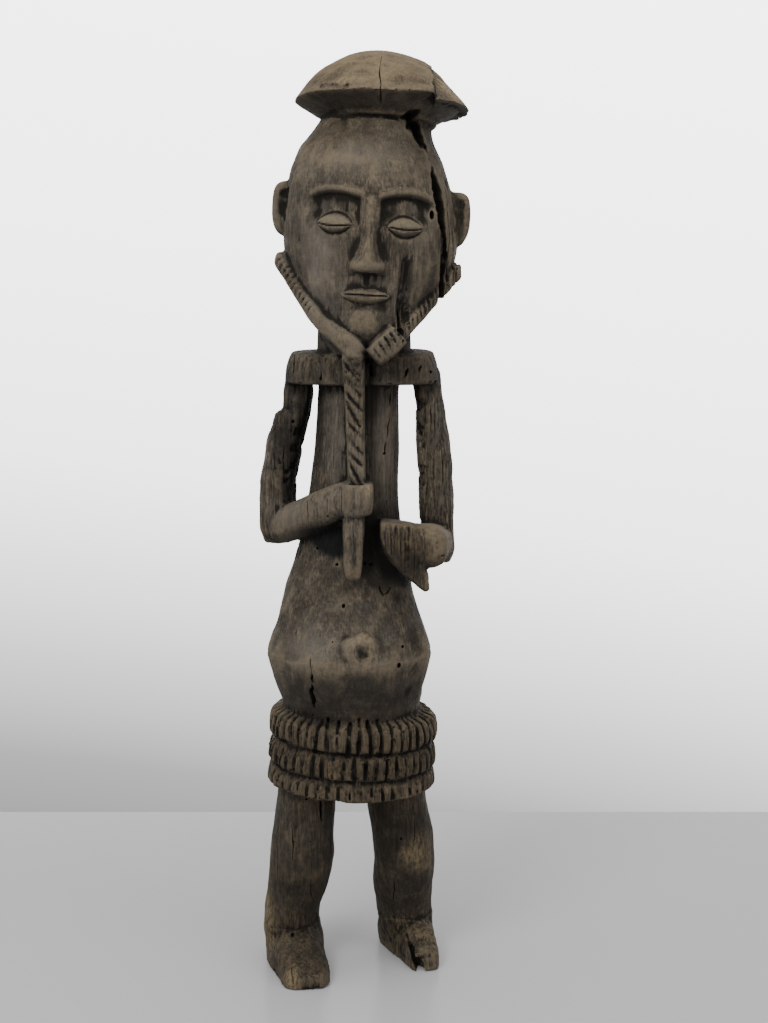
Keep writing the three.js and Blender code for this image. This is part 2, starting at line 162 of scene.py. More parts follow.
# A split along a path on the wood's surface: a wedge with ragged lips that narrows to both ends.
def crack(path, mouth, deep, inward, ragged=0.3, seed=1):
    line = np.array(path, float)
    run = runOf(line)
    at = np.linspace(0, run[-1], max(int(run[-1] / 1.7), 8))
    share = at / run[-1]
    p = np.stack([np.interp(at, run, line[:, k]) for k in range(3)], -1)
    chance = np.random.default_rng(seed)
    rough = lambda: np.convolve(chance.normal(size=len(at) + 2), [0.25, 0.5, 0.25], "valid")
    swell = 0.12 + 0.88 * np.sin(np.pi * np.clip(share, 0.02, 0.98)) ** 0.7
    into = np.array(inward, float) / np.linalg.norm(inward)
    side = unit(np.cross(into, np.gradient(p, axis=0)))
    p = p + side * (ragged * 0.7 * mouth * rough())[:, None]
    rings = []
    for u, v in bothSides([(0.5, -2.5), (0.42, 0.0), (0.22, 0.55)], 1.0):
        wide = mouth * swell * (1 + ragged * rough()) * u
        far = v if v < 0 else deep * swell * v
        rings.append(p + side * wide[:, None] + into * np.broadcast_to(far, len(p))[:, None])
    return skin(np.stack(rings, 1))


def gather(*forms):
    points, faces, start = [], [], 0
    for p, f in forms:
        points.append(p)
        faces += [[i + start for i in face] for face in f]
        start += len(p)
    return np.vstack(points), faces


def placed(form, move):
    return move(form[0]), form[1]


def linked(name, data):
    made = bpy.data.objects.new(name, data)
    bpy.context.scene.collection.objects.link(made)
    return made


def meshOf(name, points, edges, faces):
    mesh = bpy.data.meshes.new(name)
    mesh.from_pydata(((points - boxMiddle) * mm).tolist(), edges, faces)
    mesh.update()
    return mesh


def objectOf(name, form):
    return linked(name, meshOf(name, form[0], [], form[1]))


# Applies one modifier for good.
def worked(thing, kind, **settings):
    modifier = thing.modifiers.new("work", kind)
    for key, value in settings.items():
        setattr(modifier, key, value)
    return settled(thing)


def settled(thing):
    depsgraph = bpy.context.evaluated_depsgraph_get()
    mesh = bpy.data.meshes.new_from_object(thing.evaluated_get(depsgraph))
    thing.modifiers.clear()
    old, thing.data = thing.data, mesh
    bpy.data.meshes.remove(old)
    return thing


def discard(*things):
    for thing in things:
        bpy.data.objects.remove(thing)


def joined(name, things):
    with bpy.context.temp_override(active_object=things[0], selected_editable_objects=things):
        bpy.ops.object.join()
    things[0].name = name
    return things[0]


# Cuts cutters out of the wood, made one closed skin first where they overlap.
def cutOut(wood, cutters, melt=None):
    if melt:
        worked(cutters, "REMESH", mode="VOXEL", voxel_size=melt * mm)
    worked(wood, "BOOLEAN", operation="DIFFERENCE", solver="MANIFOLD", object=cutters)
    discard(cutters)


def flatOf(items, key, width, kind=np.float32):
    flat = np.empty(len(items) * width, kind)
    items.foreach_get(key, flat)
    return flat.reshape(-1, width)


def pointsOf(thing):
    return flatOf(thing.data.vertices, "co", 3).astype(float) / mm + boxMiddle


def normalsOf(thing):
    return flatOf(thing.data.vertex_normals, "vector", 3).astype(float)


def edgesOf(thing):
    return flatOf(thing.data.edges, "vertices", 2, np.int32)


def movePoints(thing, points):
    thing.data.vertices.foreach_set("co", ((points - boxMiddle) * mm).astype(np.float32).ravel())
    thing.data.update()


def writeOn(thing, name, values):
    layer = thing.data.attributes.new(name, "FLOAT", "POINT")
    layer.data.foreach_set("value", values.astype(np.float32))


def surfaceOf(thing):
    faces = [tuple(polygon.vertices) for polygon in thing.data.polygons]
    return BVHTree.FromPolygons(pointsOf(thing).tolist(), faces)


# A smooth random field from -1 to 1 with lumps of about the given size, one number or one per axis.
def lumps(points, size, seed):
    table = np.random.default_rng(seed).uniform(-1, 1, 4096)
    p = points / np.asarray(size, float) + 91.7 + 3.17 * seed
    cell = np.floor(p)
    f = p - cell
    f = f * f * f * (f * (6 * f - 15) + 10)
    cell = cell.astype(np.int64)
    total = np.zeros(len(points))
    for corner in range(8):
        step = [corner & 1, (corner >> 1) & 1, corner >> 2]
        weight = np.prod([f[:, k] if step[k] else 1 - f[:, k] for k in range(3)], axis=0)
        x, y, z = (cell[:, k] + step[k] for k in range(3))
        total += weight * table[((x * 73856093) ^ (y * 19349663) ^ (z * 83492791)) & 4095]
    return total


def ease(value, low, high):
    t = np.clip((value - low) / (high - low), 0, 1)
    return t * t * (3 - 2 * t)


def between(value, low, high, soft):
    return ease(value, low - soft, low + soft) * (1 - ease(value, high - soft, high + soft))


# A soft spot round a point, with a half-size on each axis.
def spot(points, middle, halfSizes):
    return np.exp(-(((points - middle) / halfSizes) ** 2).sum(1))


# Each value moves halfway to the mean of its neighbours', a number of times.
def relaxed(values, edges, rounds):
    count = len(values)
    a, b = edges.T
    degree = np.bincount(a, minlength=count) + np.bincount(b, minlength=count)
    out = values.astype(float).copy()
    for _ in range(rounds):
        total = [np.bincount(a, k[b], count) + np.bincount(b, k[a], count) for k in out.T]
        out += 0.5 * (np.stack(total, -1) / degree[:, None] - out)
    return out


headShape = {
    "pivot": np.array([5.0, 0.0, 590.0]),  # the top of the neck
    "lean": math.radians(3.6),  # towards the viewer's right
    "halfWidth": 77.5,
    "capMiddle": [4, 5, 212.0],
    "capRadius": 79.0,
    "capHeight": 49.2,
    "capTip": math.radians(7.5),  # the rim's front stands higher
}


def onHead(form):
    return headShape["pivot"] + leaned(form[0], headShape["lean"]), form[1]


def headPlace(v):
    return leaned(v - headShape["pivot"], -headShape["lean"])


def capPlace(v):
    return tilted(headPlace(v) - headShape["capMiddle"], headShape["capTip"], 0)


def capForm(profile, scale=(1, 1, 1)):
    move = lambda p: tilted(p * scale, -headShape["capTip"], 0) + headShape["capMiddle"]
    return placed(turned(profile), move)


def cap():
    r, h = headShape["capRadius"], headShape["capHeight"]
    return capForm([
        (0, -24), (42, -24), (45.5, -16.5), (64, -7.5), (r, 0), (75.4, 5.8), (70.4, 13.2),
        (65.2, 20.8), (57.8, 28.4), (51.5, 32.9), (44.8, 36.9), (36, 41.2), (26, 44.9), (13, 48),
        (0, h),
    ])


# A narrow lip where the cap meets the forehead.
def capLip():
    angle = np.linspace(0, 2 * np.pi, 12, endpoint=False)
    outer = np.r_[angle[7:], angle[:5]]
    bead = [(50.5 + 3.4 * math.cos(a), -12.8 + 3.0 * math.sin(a)) for a in outer]
    return capForm([(0, -16.5), *bead, (0, -10)], (0.96, 1.02, 1))


# A drawing-book face: three thirds high, five eyes wide.
face = {"chin": 8.0, "hairline": 190.0}
face["third"] = (face["hairline"] - face["chin"]) / 3
face["noseBase"] = face["chin"] + face["third"]
face["brow"] = face["chin"] + 2 * face["third"]
face["eyeLine"] = face["brow"] - face["third"] / 3
face["eyeWidth"] = 2 * headShape["halfWidth"] / 5
face["mouthLine"] = face["noseBase"] - face["third"] / 3

# Upright forms, by level sections; "turn" is in degrees.
columns = {
    "skull": dict(sides=160, rings=150, rows=tabled(
        "z x y rx ry",
        (-6, 0, -24, 28, 34), (14, 0, -18, 42, 52), (38, 1, -10, 57, 62), (62, 1, -4, 70, 69),
        (86, 1, 0, 77.5, 72.0), (116, -1, 1, 76.5, 73.0), (142, -2.7, 2, 73.4, 71),
        (160, -3.9, 3, 68.3, 67), (173, -4.8, 4, 62.5, 61), (186, -3.5, 5, 54.5, 55),
        (207.0, 1, 6, 45, 46),
    )),
    "neck": dict(
        sides=96, rings=40,
        rows=tabled("z x y rx ry", (557.5, 5, -2, 43, 40), (612, 6, -2, 42, 42)),
    ),
    "shoulderBar": dict(sides=110, rings=40, square=2.9, rows=tabled(
        "z x y rx ry",
        (557.5, 3.8, 0, 69, 45.2), (559, 3.8, 0, 70, 46), (572, 4, 0, 68.5, 46),
        (582, 4.4, 0, 65.2, 43.8), (584.5, 4.5, 0, 64, 42.4),
    )),
    "trunk": dict(sides=150, rings=190, rows=tabled(
        "z x y rx ry",
        (240, -6, 0, 60, 60), (256, -6, -1, 64.5, 64), (281, -7.5, -2, 71.5, 70),
        (302, -8.6, -3, 77.2, 74.6), (307, -8.7, -3, 77.8, 75.2), (312, -8.6, -3, 77, 74.2),
        (335, -8, -2, 68.5, 66), (364, -8.7, -1, 61, 58), (406, -6, 0, 49.5, 48),
        (451, -4.3, 0, 41.7, 42), (500, -1, 0, 38.5, 40), (540, 0.5, 0, 36.8, 39),
        (575, 3, 0, 37, 38),
    )),
    "leftUpperArm": dict(sides=64, rings=150, rows=tabled(
        "z x y rx ry square turn",
        (408, -74, 2, 12, 13, 2.4, 0), (424, -74, 2, 17.5, 20, 2.4, 0),
        (447, -74, 2, 16, 22, 2.6, -14), (472, -71.8, 2, 16, 22, 2.6, -16),
        (500, -67.4, 2, 16.8, 21, 2.6, -16), (519, -62, 2, 15.8, 20, 2.8, -13),
        (529, -59, 2, 15.4, 19.5, 3.0, -11), (532.5, -56.6, 2, 13.2, 19, 3.0, -10),
        (547, -55, 2, 13.9, 19, 3.0, -8), (557, -54, 2, 12.8, 18, 3.0, 0),
        (568, -53, 2, 11.5, 17, 3.0, 0),
    )),
    "rightUpperArm": dict(sides=64, rings=110, rows=tabled(
        "z x y rx ry square turn",
        (390, 75, 4, 11, 12, 2.4, 0), (404, 73.5, 4, 16.5, 19, 2.4, 0),
        (430, 72.6, 3, 16.5, 20, 2.6, -8), (466, 71.6, 2, 16.2, 20, 2.6, -10),
        (500, 69.7, 2, 15.8, 19, 2.6, -10), (525, 67, 2, 14, 18, 2.6, -8),
        (547, 64.2, 2, 13.5, 18, 2.6, 0), (568, 61, 2, 14, 18, 2.6, 0),
    )),
    "fist": dict(sides=64, rings=30, square=4.0, rows=tabled(
        "z x y rx ry",
        (444, 0, -55, 12.6, 15), (446, 0, -55, 13.7, 16.2), (459, 0, -56, 14.8, 17),
        (470, 0, -55, 14, 16.2), (472, 0, -55, 13.2, 15.2),
    )),
    "plait": dict(sides=48, rings=90, square=5.0, rows=tabled(
        "z x y rx ry",
        (468, 0, -52, 7.5, 12), (490, -0.5, -50, 8, 12.5), (515, -1, -49, 8.5, 12.5),
        (550, -2, -52, 9, 12.5), (578, -2.6, -59.5, 9.5, 12.5), (588, -3.0, -62, 9.0, 11.5),
        (594, -3.2, -62, 7, 8),
    )),
    "plaitTail": dict(sides=48, rings=60, square=3.0, rows=tabled(
        "z x y rx ry",
        (385, -3.5, -64, 5.5, 5.5), (391, -3.5, -64, 7.6, 7), (408, -3.5, -63, 9.3, 8),
        (430, -3, -61, 9.8, 9), (452, -2, -58, 9.8, 10),
    )),
    "leftLeg": dict(sides=96, rings=120, rows=tabled(
        "z x y rx ry",
        (-6, -61, 4, 28, 30), (22, -63, 4, 28.6, 31), (45, -64.8, 3, 27.4, 30),
        (72, -59.6, 0, 28.6, 31), (100, -54.7, -6, 31, 33), (130, -52.8, -6, 29.4, 32),
        (160, -49.6, -4, 29, 31), (190, -47.5, -2, 28.5, 30),
    )),
    "rightLeg": dict(sides=96, rings=120, rows=tabled(
        "z x y rx ry turn",
        (-6, 47, 37, 22, 25, 20), (20, 46, 31, 26, 28, 10), (47, 43.7, 26, 28, 30, 0),
        (72, 42.2, 18, 29.4, 31, 0), (100, 43.6, 10, 29.4, 33, 0), (130, 40.6, 8, 29.8, 32, 0),
        (160, 35.4, 8, 29.2, 31, 0), (190, 33, 8, 28.5, 30, 0),
    )),
}

# Forms by sections square to a path.
limbs = {
    "leftForearm": dict(rows=tabled(
        "x y z across up",
        (-77, 10, 420, 12, 13), (-72, 0, 424, 17, 17), (-56, -21, 432, 17, 17),
        (-34, -41, 445, 15.5, 16.5), (-12, -55, 457, 13.5, 15.5), (6, -58, 460, 14, 15),
    )),
    "rightForearm": dict(rows=tabled(
        "x y z across up",
        (76, 14, 404, 12, 12), (73, 2, 408, 17, 18), (67, -24, 412, 19, 18.5),
        (62.5, -50, 414.5, 20.5, 20.5), (61.5, -60, 414.5, 18.5, 18), (61, -65, 414.5, 11, 11),
    )),
    "leftFoot": dict(sides=64, square=2.6, rows=tabled(
        "x y z across up",
        (-66, 36, 10, 16, 14), (-65, 26, 12, 25, 24), (-62, 0, 10, 28, 36), (-56, -26, 8, 26, 30),
        (-50, -48, 5, 24, 20), (-47, -63, 3, 21, 14), (-46, -71, 3, 13, 8),
    )),
    "rightFoot": dict(sides=64, square=2.6, rows=tabled(
        "x y z across up",
        (36, 64, 10, 15, 13), (39, 53, 12, 23, 24), (49, 26, 10, 23.5, 34), (57, 2, 8, 18.5, 29),
        (61, -14, 5, 16, 21), (63, -26, 4, 13, 15), (63.5, -30, 4, 9, 9),
    )),
    "chinBlock": dict(square=4, rows=tabled(
        "x y z across up",
        (31, -66, 17, 9, 10), (20, -70, 5, 9, 11), (10, -73, -5, 7, 8.5),
    )),
}


def ear(side):
    rows = tabled(
        "z x y rx ry",
        (94, side * 75.5, 5, 4, 5), (97, side * 76.5, 5, 7.5, 8), (107, side * 77.2, 6, 11.2, 9.5),
        (122, side * 77.6, 6, 12.4, 10), (135, side * 77, 6, 11.6, 9.5),
        (140.5, side * 76, 6, 9, 7.5), (142.5, side * 75, 6, 5, 4),
    )
    return column(rows, 56, 60, 4.0)


# The small flap in front of the ear's hollow.
def earFlap(side):
    return ball([side * 71.5, -6, 115], [5.2, 7.5, 12], side * 0.3, 0, square=1.6)


def nose():
    base, eyes, width = face["noseBase"], face["eyeLine"], face["eyeWidth"] / 2
    rows = tabled(
        "z y rx ry",
        (base - 1, -70, width - 1.5, 15), (base + 1, -71, width, 16),
        (base + 5, -71.5, width - 0.4, 16), (base + 12, -71.5, width - 3, 15),
        (base + 26, -70.5, 9.2, 12.5), (eyes + 4, -68.5, 7.4, 8.6), (face["brow"], -66, 8.6, 7.4),
        (face["brow"] + 13, -59, 12, 7),
    )
    return column(rows, 56, 70, 1.6)


def jawRows(side):
    rows = tabled(
        "x y z across up",
        (side * 79 + 1, -6, 77, 4, 4), (side * 77 + 1, -12, 71, 7, 7),
        (side * 65.5 + 1, -24, 56, 6.5, 7), (side * 51.5, -40, 39, 6.5, 7),
        (side * 36, -55, 22, 7, 7.5), (-8, -69, 2, 8, 9) if side < 0 else (30, -61, 14, 6, 7),
    )
    return rows + (tabled("x y z across up", (-7, -66, -7, 7, 8)) if side < 0 else [])


def jawBeard(side):
    return limb(jawRows(side), square=3)


# What is left of the bowl in the hand: a plate split off flat in front. Behind the break its wall
# swells out below and to the left.
bowl = {
    "front": -64,
    "back": -38,
    "swell": 6.5,
    "outline": [
        (20, 438), (20.5, 424), (26, 411), (34.5, 399.5), (44, 390), (54, 381.5), (62, 375),
        (66.5, 377), (64.5, 387), (60, 398), (62, 415), (58, 433.5),
    ],
}


def bowlFragment():
    corners = np.array(bowl["outline"] + bowl["outline"][:1], float)
    run = runOf(corners)
    at = np.linspace(0, run[-1], 90, endpoint=False)
    x, z = (np.interp(at, run, corners[:, k]) for k in (0, 1))
    below = ease(434 - z, 0, 26) * (1 - ease(x, 58, 61) * ease(z, 378, 382))
    rings = []
    for y in np.linspace(bowl["front"], bowl["back"], 20):
        share = (y - bowl["front"]) / (bowl["back"] - bowl["front"])
        out = bowl["swell"] * below * math.sqrt(share)
        rings.append(np.stack([x - 0.55 * out, np.full_like(x, y), z - 0.75 * out], -1))
    return skin(np.array(rings)[::-1])


print("scene: forms ready")

oldWood = bpy.data.materials.new("oldWood")


def newTree(name, sizes):
    tree = bpy.data.node_groups.new(name, "GeometryNodeTree")
    tree.interface.new_socket("Geometry", in_out="INPUT", socket_type="NodeSocketGeometry")
    for label, kind in sizes.items():
        tree.interface.new_socket(label, in_out="INPUT", socket_type="NodeSocket" + kind)
    tree.interface.new_socket("Geometry", in_out="OUTPUT", socket_type="NodeSocketGeometry")
    return tree, partial(step, tree), tree.nodes.new("NodeGroupInput").outputs


# Adds a node. An input is a value, a socket, or a node whose first output is meant.
def step(tree, kind, inputs=(), **settings):
    node = tree.nodes.new(kind)
    for key, value in settings.items():
        setattr(node, key, value)
    for name, value in dict(inputs).items():
        if isinstance(value, bpy.types.Node):
            value = value.outputs[0]
        if isinstance(value, bpy.types.NodeSocket):
            tree.links.new(value, node.inputs[name])
        else:
            node.inputs[name].default_value = value
    return node


def endTree(tree, geometry):
    real = step(tree, "GeometryNodeRealizeInstances", {"Geometry": geometry})
    dressed = step(tree, "GeometryNodeSetMaterial", {"Geometry": real, "Material": oldWood})
    step(tree, "NodeGroupOutput", {0: dressed})
    return tree


def vector(add, kind, a, b):
    return add("ShaderNodeVectorMath", {0: a, 1: b}, operation=kind)


def reckon(add, kind, a, b=0.0):
    return add("ShaderNodeMath", {0: a, 1: b}, operation=kind)


def mapped(add, value, low, high, least=0.0, most=1.0, kind="LINEAR"):
    inputs = {"Value": value, "From Min": low, "From Max": high, "To Min": least, "To Max": most}
    return add("ShaderNodeMapRange", inputs, interpolation_type=kind)


def felt(add, name, kind="FLOAT"):
    return add("GeometryNodeInputNamedAttribute", {"Name": name}, data_type=kind)


def aligned(add, way, axis="X", pivot="Z", **more):
    kind = "FunctionNodeAlignRotationToVector"
    return add(kind, {"Vector": way, **more}, axis=axis, pivot_axis=pivot)


def chanceOf(add, low, high, seed, kind="FLOAT_VECTOR"):
    return add("FunctionNodeRandomValue", {"Min": low, "Max": high, "Seed": seed}, data_type=kind)


def stood(add, points, form, turn, **more):
    copied = add("GeometryNodeObjectInfo", {"Object": form}).outputs["Geometry"]
    inputs = {"Points": points, "Instance": copied, "Rotation": turn, **more}
    return add("GeometryNodeInstanceOnPoints", inputs)


def grown(thing, tree, **values):
    modifier = thing.modifiers.new(tree.name, "NODES")
    modifier.node_group = tree
    for item in tree.interface.items_tree:
        label = item.name[0].lower() + item.name[1:].replace(" ", "")
        if item.in_out == "INPUT" and label in values:
            modifier[item.identifier] = values[label]
    return settled(thing)


# A tool that a tree repeats, in its own frame, out of sight.
def patternOf(name, form):
    thing = objectOf(name, (form[0] + boxMiddle, form[1]))
    thing.hide_render = True
    return thing


# Cutters stand round an oval, each facing outwards.
def toothRingTree():
    tree, add, size = newTree("toothRing", {
        "Tooth": "Object", "Count": "Int", "Half width": "Float", "Half depth": "Float",
        "Unevenness": "Float", "Seed": "Int",
    })
    circle = add("GeometryNodeMeshCircle", {"Vertices": size["Count"], "Radius": 1.0})
    halves = {"X": size["Half width"], "Y": size["Half depth"], "Z": 1.0}
    oval = add("ShaderNodeCombineXYZ", halves)
    here = add("GeometryNodeInputPosition")
    outward = {"Geometry": circle, "Name": "outward", "Value": vector(add, "DIVIDE", here, oval)}
    kept = add("GeometryNodeStoreNamedAttribute", outward, data_type="FLOAT_VECTOR")
    wide = {"Geometry": kept, "Position": vector(add, "MULTIPLY", here, oval)}
    ring = add("GeometryNodeSetPosition", wide)
    turn = aligned(add, felt(add, "outward", "FLOAT_VECTOR"))
    teeth = stood(add, ring, size["Tooth"], turn)
    most = reckon(add, "ADD", 1.0, size["Unevenness"])
    least = reckon(add, "SUBTRACT", 1.0, size["Unevenness"])
    scale = chanceOf(add, least, most, size["Seed"])
    uneven = add("GeometryNodeScaleInstances", {"Instances": teeth, "Scale": scale})
    wobble = chanceOf(add, (-0.09, -0.05, -0.10), (0.09, 0.05, 0.10), size["Seed"])
    return endTree(tree, add(
        "GeometryNodeRotateInstances", {"Instances": uneven, "Rotation": wobble},
    ))


# Copies of one form stand along a line of points, facing as its "outward" attribute says.
def alongTree():
    tree, add, size = newTree("along", {
        "Form": "Object", "Spacing": "Float", "Slant": "Float", "Unevenness": "Float",
        "Seed": "Int",
    })
    curve = add("GeometryNodeMeshToCurve", {"Mesh": size["Geometry"]})
    evenly = {"Curve": curve, "Length": size["Spacing"]}
    even = add("GeometryNodeResampleCurve", evenly, mode="LENGTH")
    first = aligned(add, add("GeometryNodeInputTangent"), "X", "AUTO")
    facing = felt(add, "outward", "FLOAT_VECTOR")
    second = aligned(add, facing, "Z", "X", Rotation=first)
    copies = stood(add, even, size["Form"], second)
    low, high = (
        add("ShaderNodeCombineXYZ", {"Z": reckon(add, kind, size["Slant"], size["Unevenness"])})
        for kind in ("SUBTRACT", "ADD")
    )
    swing = chanceOf(add, low, high, size["Seed"])
    return endTree(tree, add(
        "GeometryNodeRotateInstances", {"Instances": copies, "Rotation": swing},
    ))


# Holes or checks are scattered in patches, pointing into the wood, upright along the grain.
def scatterTree():
    tree, add, size = newTree("scatter", {
        "Form": "Object", "Density": "Float", "Patch size": "Float", "Shortest": "Float",
        "Longest": "Float", "Seed": "Int",
    })
    patch = add("ShaderNodeTexNoise", {"Scale": size["Patch size"], "Detail": 1.0})
    clear = mapped(add, patch.outputs["Fac"], 0.5, 0.62)
    many = reckon(add, "MULTIPLY", clear, size["Density"])
    bare = reckon(add, "MULTIPLY", many, felt(add, "bare"))
    spread = add(
        "GeometryNodeDistributePointsOnFaces",
        {"Mesh": size["Geometry"], "Density": bare, "Seed": size["Seed"]},
    ).outputs
    turn = aligned(add, vector(add, "MULTIPLY", spread["Normal"], (1.0, 1.0, 0.15)))
    scale = chanceOf(add, size["Shortest"], size["Longest"], size["Seed"], "FLOAT").outputs[1]
    return endTree(tree, stood(add, spread["Points"], size["Form"], turn, Scale=scale))


toothRing, along, scatter = toothRingTree(), alongTree(), scatterTree()

belt = {
    "place": (-6, -2),
    "bottom": 180.5,
    "top": 254.0,
    "radius": 79.5,
    "depthShare": 0.93,
    "rings": [(190.6, 9.6), (213.2, 12.0), (239.4, 12.8)],  # middle and half-height of each
    "valley": 10.5,
    "cuts": 48,
    "cutDeep": 7.0,
    "cutShare": (0.72, 1, 1),  # how much of it each ring has
    "cutOpening": 0.135,  # how fast a cut widens outwards
    "cutFloor": 0.65,
    "cutReach": 6,  # past the teeth
    "lean": math.radians(2.5),
    "unevenness": 0.15,
}


def beltLean(p):
    x, y = belt["place"]
    back = 0.5 * (belt["bottom"] + belt["top"]) * math.sin(belt["lean"])
    return leaned(p, belt["lean"]) + [x - back, y, 0]


# Three flounces, one over the other.
def beltCore():
    r, low, high = belt["radius"], belt["bottom"], belt["top"]
    valley = r - belt["valley"]
    profile = [(0, low), (valley - 5, low)]
    for middle, half in belt["rings"]:
        profile += [
            (valley, middle - half), (r - 0.8, middle - 0.94 * half), (r, middle - 0.55 * half),
            (r - 0.4, middle), (r - 1.6, middle + 0.5 * half),
            (r - 4.4, middle + 0.86 * half), (valley, middle + half),
        ]
    profile[-2:] = [(r - 4.4, high - 4), (r - 10, high - 1.5), (62, high + 1), (0, high + 1)]
    return placed(turned(profile), lambda p: beltLean(p * [1, belt["depthShare"], 1]))


# How deep a cut is at each height, as shares, in the lowest ring, the middle one and the highest.
cutEnds = [
    [(-0.86, 0.06), (-0.72, 0.6), (-0.5, 1.0), (0.45, 1.0), (0.8, 0.9), (1.1, 0.8)],
    [(-1.1, 0.8), (-0.8, 0.9), (-0.5, 1.0), (0.45, 1.0), (0.8, 0.9), (1.1, 0.8)],
    [
        (-1.1, 0.8), (-0.8, 0.9), (-0.5, 1.0), (0.45, 1.0), (0.62, 1.25), (0.85, 2.0),
        (1.06, 2.5), (1.3, 2.6),
    ],
]


# A cut between two teeth: an upright wedge that opens outwards, along +X.
def toothCut(half, which):
    thin, out = belt["cutFloor"], belt["cutReach"]
    rings = []
    for share, deep in cutEnds[which]:
        rounding = 0 if which == 2 and share > 0 else 3.2 * max(abs(share) - 0.5, 0)
        inner = -belt["cutDeep"] * deep * belt["cutShare"][which] - rounding
        wide = thin + belt["cutOpening"] * (out - inner)
        z = share * half
        rings.append([(out, -wide, z), (out, wide, z), (inner, thin, z), (inner, -thin, z)])
    return skin(np.array(rings))


def beltCuts():
    r = belt["radius"] * mm
    things = []
    for i, (middle, half) in enumerate(belt["rings"]):
        blade = patternOf("beltBlade", toothCut(half, i))
        ring = objectOf("beltRing", ball([0, 0, 0], [1, 1, 1], sides=8))
        grown(
            ring, toothRing, tooth=blade, count=belt["cuts"], halfwidth=r,
            halfdepth=belt["radius"] * belt["depthShare"] * mm,
            unevenness=belt["unevenness"], seed=11 + i,
        )
        ring.data.transform(Matrix.Rotation(0.05 * i, 4, "Z"))
        ring.data.transform(Matrix.Translation((0, 0, middle * mm)))
        things.append(ring)
        discard(blade)
    whole = joined("beltCuts", things)
    movePoints(whole, beltLean(pointsOf(whole) - boxMiddle))
    return whole


jawHatch = {"mouth": 3.2, "deep": 2.5, "reach": 8.5, "spacing": 6.0, "unevenness": 0.1}
plaitHatch = {"mouth": 6.4, "deep": 3.1, "reach": 14.0, "spacing": 12.6, "unevenness": 0.17}
chinRows = tabled("x y z across", (29, -67, 15, 9), (20, -70, 5, 9), (12, -72.5, -3, 8))


# Hatch lines along a row of points that face outwards, cut by a V-shaped blade.
def hatched(points, outward, cut, seed, slant):
    pairs = [[i, i + 1] for i in range(len(points) - 1)]
    line = linked("hatch", meshOf("hatch", points, pairs, []))
    facing = line.data.attributes.new("outward", "FLOAT_VECTOR", "POINT")
    facing.data.foreach_set("vector", np.asarray(outward, np.float32).ravel())
    half = cut["mouth"] / 2, cut["mouth"] * 0.3
    section = bothSides([(-half[0], 3.0), (-half[1], -cut["deep"] * 0.35)], -cut["deep"])
    rings = [[(x, y, z) for x, z in section] for y in (-cut["reach"], cut["reach"])]
    blade = patternOf("blade", skin(np.array(rings, float)))
    grown(
        line, along, form=blade, spacing=cut["spacing"] * mm, slant=slant,
        unevenness=cut["unevenness"], seed=seed,
    )
    discard(blade)
    return line


def jawHatched(rows, seed, first, last, slant):
    place = np.linspace(first, last, 40) * (len(rows) - 1)
    path, _, across = pathOf(rows, place)
    front = unit(across * np.sign(-across[:, 1:2]) + [0, -0.25, 0.25])
    line = path + front * (through(rows, "across", place) - 0.2)[:, None]
    facing = onHead((front, []))[0] - onHead((np.zeros((1, 3)), []))[0]
    return hatched(onHead((line, []))[0], facing, jawHatch, seed, slant)


# The cuts that part the plait's strands, on its front from the hand up to the chin.
def plaitHatched():
    rows = columns["plait"]["rows"]
    place = np.linspace(0.1, len(rows) - 3.3, 40)
    spine = np.stack([through(rows, key, place) for key in "xyz"], -1)
    spine += np.stack([np.full(40, -2.0), -through(rows, "ry", place), np.zeros(40)], -1)
    return hatched(spine, np.tile([-0.1, -1.0, 0.0], (40, 1)), plaitHatch, 5, -0.92)


def buildWood():
    both = [-1, 1]
    formOf = lambda name: column(**columns[name]) if name in columns else limb(**limbs[name])
    head = [formOf("skull"), cap(), capLip(), nose(), formOf("chinBlock")]
    head += [*map(ear, both), *map(jawBeard, both)]
    arms = ["leftUpperArm", "rightUpperArm", "leftForearm", "fist", "rightForearm"]
    body = [*map(formOf, ["neck", "shoulderBar", "trunk", "plaitTail", *arms]), bowlFragment()]
    body += map(formOf, ["leftLeg", "rightLeg", "leftFoot", "rightFoot"])
    wood = objectOf("wood", gather(*map(onHead, head), *body, beltCore(), formOf("plait")))
    return worked(wood, "REMESH", mode="VOXEL", voxel_size=voxels["union"] * mm)


# The hollows in front of the ears.
def hollows():
    forms = []
    for side in (-1, 1):
        for height, *halfSizes in ((119, 6.4, 7.6, 15), (131, 6.2, 8.2, 7.0)):
            middle = [side * 78.8, -10, height]
            forms.append(onHead(ball(middle, halfSizes, side * 0.12, 0, square=2.4)))
    return gather(*forms)


# The open splits down the head and in the right foot: path, mouth, depth, way in, raggedness, seed.
headSplits = [
    (
        [(22, -43, 199), (30, -44, 202), (38, -42, 194), (45, -40, 184), (52, -36, 172)],
        21, 30, (-0.4, 1, 0.1), 0.14, 3,
    ),
    (
        [(51.5, -40, 172), (57.5, -40, 146), (61.5, -39, 118), (65, -36, 86)],
        15.5, 15, (-0.6, 1, 0), 0.13, 4,
    ),
    ([(65, -36, 104), (67.5, -32, 66), (67, -27, 31)], 7.5, 14, (-0.8, 1, 0), 0.18, 5),
]
footSplits = [
    ([(43.5, -2, 30), (47, -14, 23), (51, -24, 15)], 3.2, 9, (0.3, 0.6, -1), 0.25, 7),
    (
        [(48.8, -15, 21), (56, -30, 9), (61.5, -43, -2), (67, -56, -13)],
        11.5, 22, (0.3, 0.6, -1), 0.06, 8,
    ),
]


def underFloor():
    corners = [(-200, -200), (200, -200), (200, 200), (-200, 200)]
    return skin(np.array([[(x, y, z) for x, y in corners] for z in (-80.0, 0.0)]))


